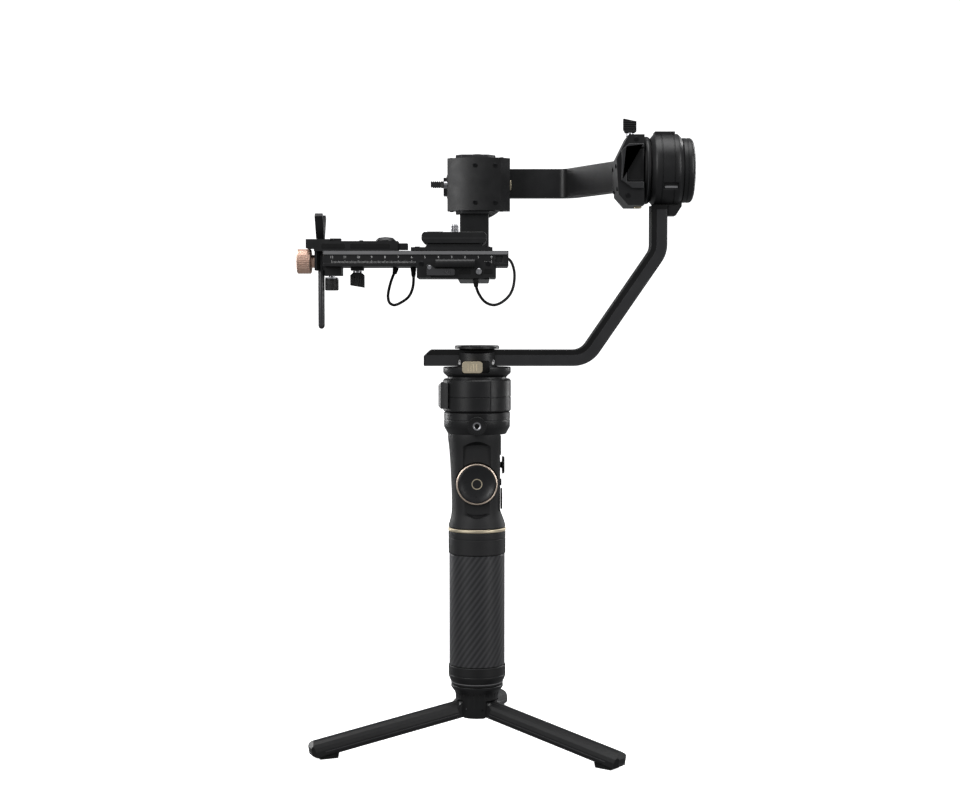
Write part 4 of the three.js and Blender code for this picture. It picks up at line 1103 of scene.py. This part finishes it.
# ---------------------------------------------------------------- camera platform
def platform():
    dress("base_clamp", ANODISED, 0.5)
    ribs = []
    for k in range(8):
        x = -28.6 + 3.55 * k
        ribs.append(lathe([(3.25, x), (3.55, x), (3.55, x + 0.9), (3.25, x + 0.9)], 48, "x",
            (0, -31.6, 365.3)))
    make("barrel_bands", merge(*ribs), ANODISED, "base")
    jaw_y = -29.5
    panels = merge(
        prism("XZ", rounded(-13.5, -4.5, 357.4, 360.8, 0.8), jaw_y - 0.25, jaw_y + 0.4),
        prism("XZ", rounded(5.2, 11.6, 357.6, 361.4, 0.8), jaw_y - 0.25, jaw_y + 0.4),
    )
    make("jaw_panels", panels, BLACK_AND_SHADE, "base", 0.1)
    for k, x in enumerate((-41.5, 8.4)):
        make(f"jaw_screw_{k + 1}", carve(
            disc(1.9, jaw_y - 0.5, jaw_y + 0.6, "y", (x, 0, 365.2), 40, 0.2),
            lathe([(0, jaw_y - 2), (1.0, jaw_y - 2), (1.0, jaw_y - 0.05), (0, jaw_y - 0.05)], 6, "y",
                (x, 0, 365.2)),
        ), BLACK_STEEL, "base")
    lever = Span("base_lever")
    plate = prism("XZ", [(-37.4, 356.8), (-37, 356.4), (-17.4, 356.4), (-16.6, 357.2), (-16.6, 360.6),
        (-17.4, 361.4),
        (-31, 361.4), (-34.9, 364.6), (-37, 364.6), (-37.4, 364.2)], lever.y0, lever.y1)
    notches = [block(x - 0.25, x + 0.25, lever.y0 - 1, lever.y0 + 0.4, 357.2, 360.6) for x in (-24, -22.6,
        -21.2, -19.8)]
    make("lever_plate", carve(plate, merge(*notches)), ANODISED_GREY_AND_HIGHLIGHT, "base_lever", 0.3, "base_lever")
    pivot = disc(1.5, lever.y0 - 0.35, lever.y0 + 0.4, "y", (-35.4, 0, 362.3), 36, 0.15)
    make("lever_pivot", pivot, STEEL, "base_lever")
    button = Span("safety_button")
    head = lathe([(0, button.y0 + 0.15), (1.9, button.y0), (2.3, button.y0 + 0.4), (2.3, button.y1),
        (0, button.y1)], 48, "y",
        (button.x, 0, button.z))
    slot = block(button.x - 0.35, button.x + 0.35, button.y0 - 1, button.y0 + 0.5, button.z - 1.7,
        button.z + 1.7)
    make("safety_cap", carve(head, slot), STEEL, "safety_button", 0, "safety_button")


def digits(text, size, x, y, z):
    """Raised figures that face -Y, centred on a point, as a body in millimetres."""
    curve = bpy.data.curves.new("digits", "FONT")
    curve.body = text
    curve.size = size
    curve.align_x = "CENTER"
    curve.align_y = "CENTER"
    curve.extrude = 0.03
    curve.resolution_u = 3
    shape = bpy.data.objects.new("digits", curve)
    bpy.context.scene.collection.objects.link(shape)
    bm = bmesh.new()
    bm.from_mesh(shape.to_mesh())
    bpy.data.objects.remove(shape)
    bpy.data.curves.remove(curve)
    bm.transform(Matrix.Translation((x, y, z)) @ Matrix.Rotation(math.pi / 2, 4, "X"))
    return bm


def rail():
    node = Span("camera_rail")
    half, low, high = node.y1, node.z0, node.z1
    waist = half - 0.8
    section = [(-half, low), (half, low), (half, 365.8), (waist, 365.8), (waist, 372), (half, 372),
        (half, high),
        (5.2, high), (5.2, high - 0.5), (-5.2, high - 0.5), (-5.2, high), (-half, high), (-half, 372),
        (-waist, 372), (-waist, 365.8), (-half, 365.8)]
    body = prism("YZ", section, node.x0, node.x1)
    slot = prism("XY", rounded(-200, -84, -3.4, 3.4, 3.2), 300, 400)
    pocket = prism("XZ", rounded(13.6, 19.6, 366.6, 371.2, 1), -60, -22.8)
    make("rail_bar", carve(body, slot, pocket), ANODISED, "rail", 0.35, "camera_rail")
    # Painted highlight: light grey skins on the rail's upper sides, above the scale.
    edge = merge(
        prism("YZ", [(-half - 0.12, 372.3), (-half + 0.3, 372.3), (-half + 0.3, high - 0.3),
            (-half - 0.12, high - 0.3)],
            node.x0 + 0.6, node.x1 - 0.6),
        prism("YZ", [(half - 0.3, 372.3), (half + 0.12, 372.3), (half + 0.12, high - 0.3),
            (half - 0.3, high - 0.3)],
            node.x0 + 0.6, node.x1 - 0.6),
    )
    make("rail_side_highlights", edge, EDGE_HIGHLIGHT, "rail", 0.1)
    zero = 11.0
    y = -waist - 0.03
    marks = [digits(str(k), 2.5, zero - 10 * k, y, 370.3) for k in range(13)]
    for k in range(121):
        tall = 1.5 if k % 10 == 0 else 1.1 if k % 5 == 0 else 0.7
        x = zero - k
        marks.append(block(x - 0.09, x + 0.09, y - 0.03, y + 0.3, 366.0, 366.0 + tall + 0.5))
    make("rail_scale", merge(*marks), MARKING, "rail")
    riser = Span("plate_riser")
    dress("plate_riser", ANODISED, 0.35)
    for k, x in enumerate((riser.x0 + 4.6, riser.x1 - 3.4)):
        for j, y in enumerate((-15, 15)):
            socket_screw(f"riser_screw_{2 * k + j + 1}", (x, y, 377.8), "z", "rail", 2.1, 0.8)


def camera_plate():
    node = Span("camera_plate")
    low, high = node.z0, node.z1
    outline = [(-38.7, low), (4.2, low), (6.4, 382.2), (7.2, 383.2), (7.2, 386.8), (6.6, 388.3),
        (5.2, high), (-39.7, high),
        (-41.1, 388.3), (-41.7, 386.8), (-41.7, 383.2), (-40.9, 382.2)]
    screw = Span("camera_screw")
    at = (screw.x, 0, 0)
    seat = disc(6.4, 300, 384, at=at, sides=64)
    bore = disc(3.5, 300, 400, at=at, sides=48)
    make("plate_body", carve(prism("XZ", outline, node.y0, node.y1), seat, bore), ANODISED, "camera_plate",
        0.5,
        "camera_plate")
    pads = []
    for k in range(6):
        y = node.y0 + 4.4 + k * 7.0
        for x0, x1 in ((-37.6, -25.5), (-8.6, 3.2)):
            pads.append(prism("XY", rounded(x0, x1, y - 1.9, y + 1.9, 1.0, 4), high - 0.1, high + 0.35))
    make("plate_grip", merge(*pads), RUBBER, "camera_plate", 0.1)
    line = prism("XZ", [(-41.9, 384.4), (7.4, 384.4), (7.4, 384.9), (-41.9, 384.9)], node.y0 - 0.12,
        node.y0 + 0.5)
    make("plate_lip", line, ANODISED_GREY_AND_HIGHLIGHT, "camera_plate")
    head = carve(
        lathe([(0, screw.z0), (5.7, screw.z0), (6, screw.z0 + 0.3), (6, 383.4), (5.8, 383.6), (3.1, 383.6),
            *[(2.85 + 0.25 * (k % 2), 384 + 0.5 * k) for k in range(23)], (2.5, screw.z1), (0, screw.z1)],
            48, at=at),
        prism("XY", [(screw.x - 0.6, -8), (screw.x + 0.6, -8), (screw.x + 0.6, 8), (screw.x - 0.6, 8)],
            screw.z0 - 1, screw.z0 + 1),
    )
    make("plate_screw", head, STEEL, "camera_screw", 0, "camera_screw")


# ---------------------------------------------------------------- lens support
def lens_support():
    bracket = Span("support_bracket")
    dress("support_bracket", ANODISED, 0.4)
    for k, x in enumerate((-100, -88, -77)):
        socket_screw(f"bracket_screw_{k + 1}", (x, -6.5 if k % 2 else 6.5, 383), "z", "lens_support", 1.6,
            0.7)
    side = merge(
        prism("XZ", rounded(-118, -100, 377.2, 381.0, 1), bracket.y0 - 0.2, bracket.y0 + 0.4),
        prism("XZ", rounded(-96, -66, 377.2, 381.0, 1), bracket.y0 - 0.2, bracket.y0 + 0.4),
    )
    make("bracket_lands", side, BLACK_AND_SHADE, "lens_support", 0.1)

    knob = Span("support_knob")
    r, x = knob.x1 - knob.x, knob.x
    flutes = [disc(0.42, knob.z0 - 1, 353.6, at=(r * math.cos(a) + x, r * math.sin(a), 0), sides=8)
        for a in [2 * math.pi * k / 28 for k in range(28)]]
    body = lathe([(0, knob.z0), (r - 0.6, knob.z0), (r, knob.z0 + 0.5), (r, 354.2), (r - 0.4, 354.6),
        (0, 354.6)], 96,
        at=(x, 0, 0))
    make("support_knob_body", carve(body, merge(*flutes)), PLASTIC, "support_knob", 0, "support_knob")
    ring = lathe([(0, 354.6), (5.0, 354.6), (5.1, 354.9), (5.1, 355.7), (2.4, 355.9), (2.4, knob.z1),
        (0, knob.z1)], 64,
        at=(x, 0, 0))
    make("support_knob_ring", ring, STEEL, "support_knob")

    wing = Span("support_wing_screw")
    x = -91.4
    body = prism("XZ", [(x - 3.4, 359.2), (x - 5.4, 357.4), (x - 5.4, wing.z0 + 1.8), (x + 5.4, wing.z0),
        (x + 5.4, 357.4),
        (x + 3.4, 359.2)], -2.6, 2.6)
    ribs = []
    for k in range(5):
        for side in (-1, 1):
            start, stop = sorted((side * 2.0, side * 4))
            ribs.append(block(x - 4.2 + 1.9 * k, x - 3.4 + 1.9 * k, start, stop, 340, 356.6))
    make("support_wing_body", carve(body, merge(*ribs)), PLASTIC, "support_wing", 0.3, "support_wing_screw")
    washer = lathe([(0, 359.2), (3.2, 359.2), (3.4, 359.4), (3.4, 360.4), (3.2, 360.6), (2.2, 360.6),
        (2.2, wing.z1),
        (0, wing.z1)], 48, at=(x, 0, 0))
    make("support_wing_washer", washer, STEEL, "support_wing")

    rod = Span("lens_rod")
    x = -119
    profile = [(0, rod.z0), (0.8, rod.z0 + 0.1), (1.6, rod.z0 + 0.6), (2.2, rod.z0 + 1.4),
        (2.5, rod.z0 + 2.6), (2.5, 384.2),
        (2.2, 384.8), (0, 384.8)]
    make("rod_shaft", lathe(profile, 48, at=(x, 0, 0)), ANODISED_GREY_AND_HIGHLIGHT, "lens_rod", 0, "lens_rod")
    fork = prism("YZ", [(-4, 384.8), (4, 384.8), (16.5, 401.5), (13, rod.z1), (1.8, 391.5), (-1.8, 391.5),
        (-13, rod.z1),
        (-16.5, 401.5)], rod.x0, rod.x1)
    make("rod_fork", fork, ANODISED, "lens_rod", 0.6)
    pads = merge(
        prism("YZ", [(3.4, 392.2), (13.2, rod.z1 - 0.9), (12.4, rod.z1 - 0.2), (2.4, 392.8)], rod.x0 + 0.7,
            rod.x1 - 0.7),
        prism("YZ", [(-3.4, 392.2), (-13.2, rod.z1 - 0.9), (-12.4, rod.z1 - 0.2), (-2.4, 392.8)],
            rod.x0 + 0.7, rod.x1 - 0.7),
    )
    make("fork_pads", pads, RUBBER, "lens_rod", 0.2)

    knob = Span("rod_knob")
    z, r = knob.z, knob.z1 - knob.z
    profile = [(0, knob.x0), (7.6, knob.x0), (r - 0.7, knob.x0 + 0.25), (r, knob.x0 + 0.9), (r, -127.2),
        (r - 0.7, -126.5),
        (5.2, -126.4), (4.9, -126.1), (4.9, knob.x1), (0, knob.x1)]
    flutes = [disc(0.5, knob.x0 + 1.4, -127.6, at=((r + 0.12) * math.cos(a), (r + 0.12) * math.sin(a), 0),
        sides=8)
        for a in [2 * math.pi * k / 40 for k in range(40)]]
    face = lathe([(5.8, knob.x0 - 1), (6.3, knob.x0 - 1), (6.3, knob.x0 + 0.4), (5.8, knob.x0 + 0.4)], 72)
    body = carve(lathe(profile, 120), merge(*flutes), face)
    make("rod_knob_body", oriented(body, "x", (0, 0, z)), PEACH_GOLD, "rod_knob", 0, "rod_knob")


# ---------------------------------------------------------------- studio
def studio():
    white = Shader("studio_white", (0.9, 0.9, 0.9), 0.0, 0.85, 0.2)
    white.bsdf.inputs["Emission Color"].default_value = (1, 1, 1, 1)
    white.bsdf.inputs["Emission Strength"].default_value = 0.95
    bm = bmesh.new()
    rows = []
    steps = 16
    bend = 0.9
    back, top, half = 3.2, 4.0, 6.0
    line = [(-5.0, 0.0)]
    for k in range(steps + 1):
        angle = math.pi / 2 * k / steps
        line.append((back - bend + bend * math.sin(angle), bend - bend * math.cos(angle)))
    line.append((back, top))
    for y, z in line:
        rows.append([bm.verts.new((x, y, z)) for x in (-half, half)])
    for a, b in zip(rows, rows[1:]):
        bm.faces.new((a[0], a[1], b[1], b[0]))
    sweep = as_object(bm, "studio_sweep")
    sweep.data.materials.append(white.material)
    for face in sweep.data.polygons:
        face.use_smooth = True
    sweep.visible_glossy = False
    sweep.visible_diffuse = False

    world = bpy.data.worlds.new("studio")
    world.use_nodes = True
    world.node_tree.nodes["Background"].inputs["Color"].default_value = (0.96, 0.98, 1.0, 1)
    world.node_tree.nodes["Background"].inputs["Strength"].default_value = 0.22
    bpy.context.scene.world = world
    bpy.context.scene.view_settings.view_transform = "Standard"

    def softbox(name, at, aim, size, energy):
        data = bpy.data.lights.new(name, "AREA")
        data.shape = "RECTANGLE"
        data.size, data.size_y = size
        data.energy = energy
        lamp = bpy.data.objects.new(name, data)
        bpy.context.scene.collection.objects.link(lamp)
        lamp.location = at
        lamp.rotation_euler = (Vector(aim) - Vector(at)).to_track_quat("-Z", "Y").to_euler()

    middle = (0, 0, 0.25)
    softbox("key_left", (-1.3, -1.3, 1.1), middle, (0.7, 1.5), 22)
    softbox("fill_right", (1.5, -1.1, 0.9), middle, (0.6, 1.4), 16)
    softbox("top", (0, -0.1, 1.7), middle, (1.6, 1.0), 16)
    softbox("rim_left", (-1.2, 1.1, 0.7), middle, (0.4, 1.4), 12)
    softbox("rim_right", (1.3, 1.1, 0.8), middle, (0.4, 1.4), 12)


tripod()
grip()
control_section()
control_keys()
focus_wheel()
accessory_collar()
pan_motor()
pan_neck()
arms()
motor("roll", "pan_arm", motor_frame([(0, 0, 1), (0, -1, 0), (1, 0, 0)], (0, 0, MOTOR_AXIS_Z)))
tilt_out = Span("tilt_motor_cap").y1 - 165.8
motor("tilt", "roll_arm", motor_frame([(-1, 0, 0), (0, 0, 1), (0, 1, 0)], (0, tilt_out, MOTOR_AXIS_Z)))
platform()
rail()
camera_plate()
lens_support()
studio()
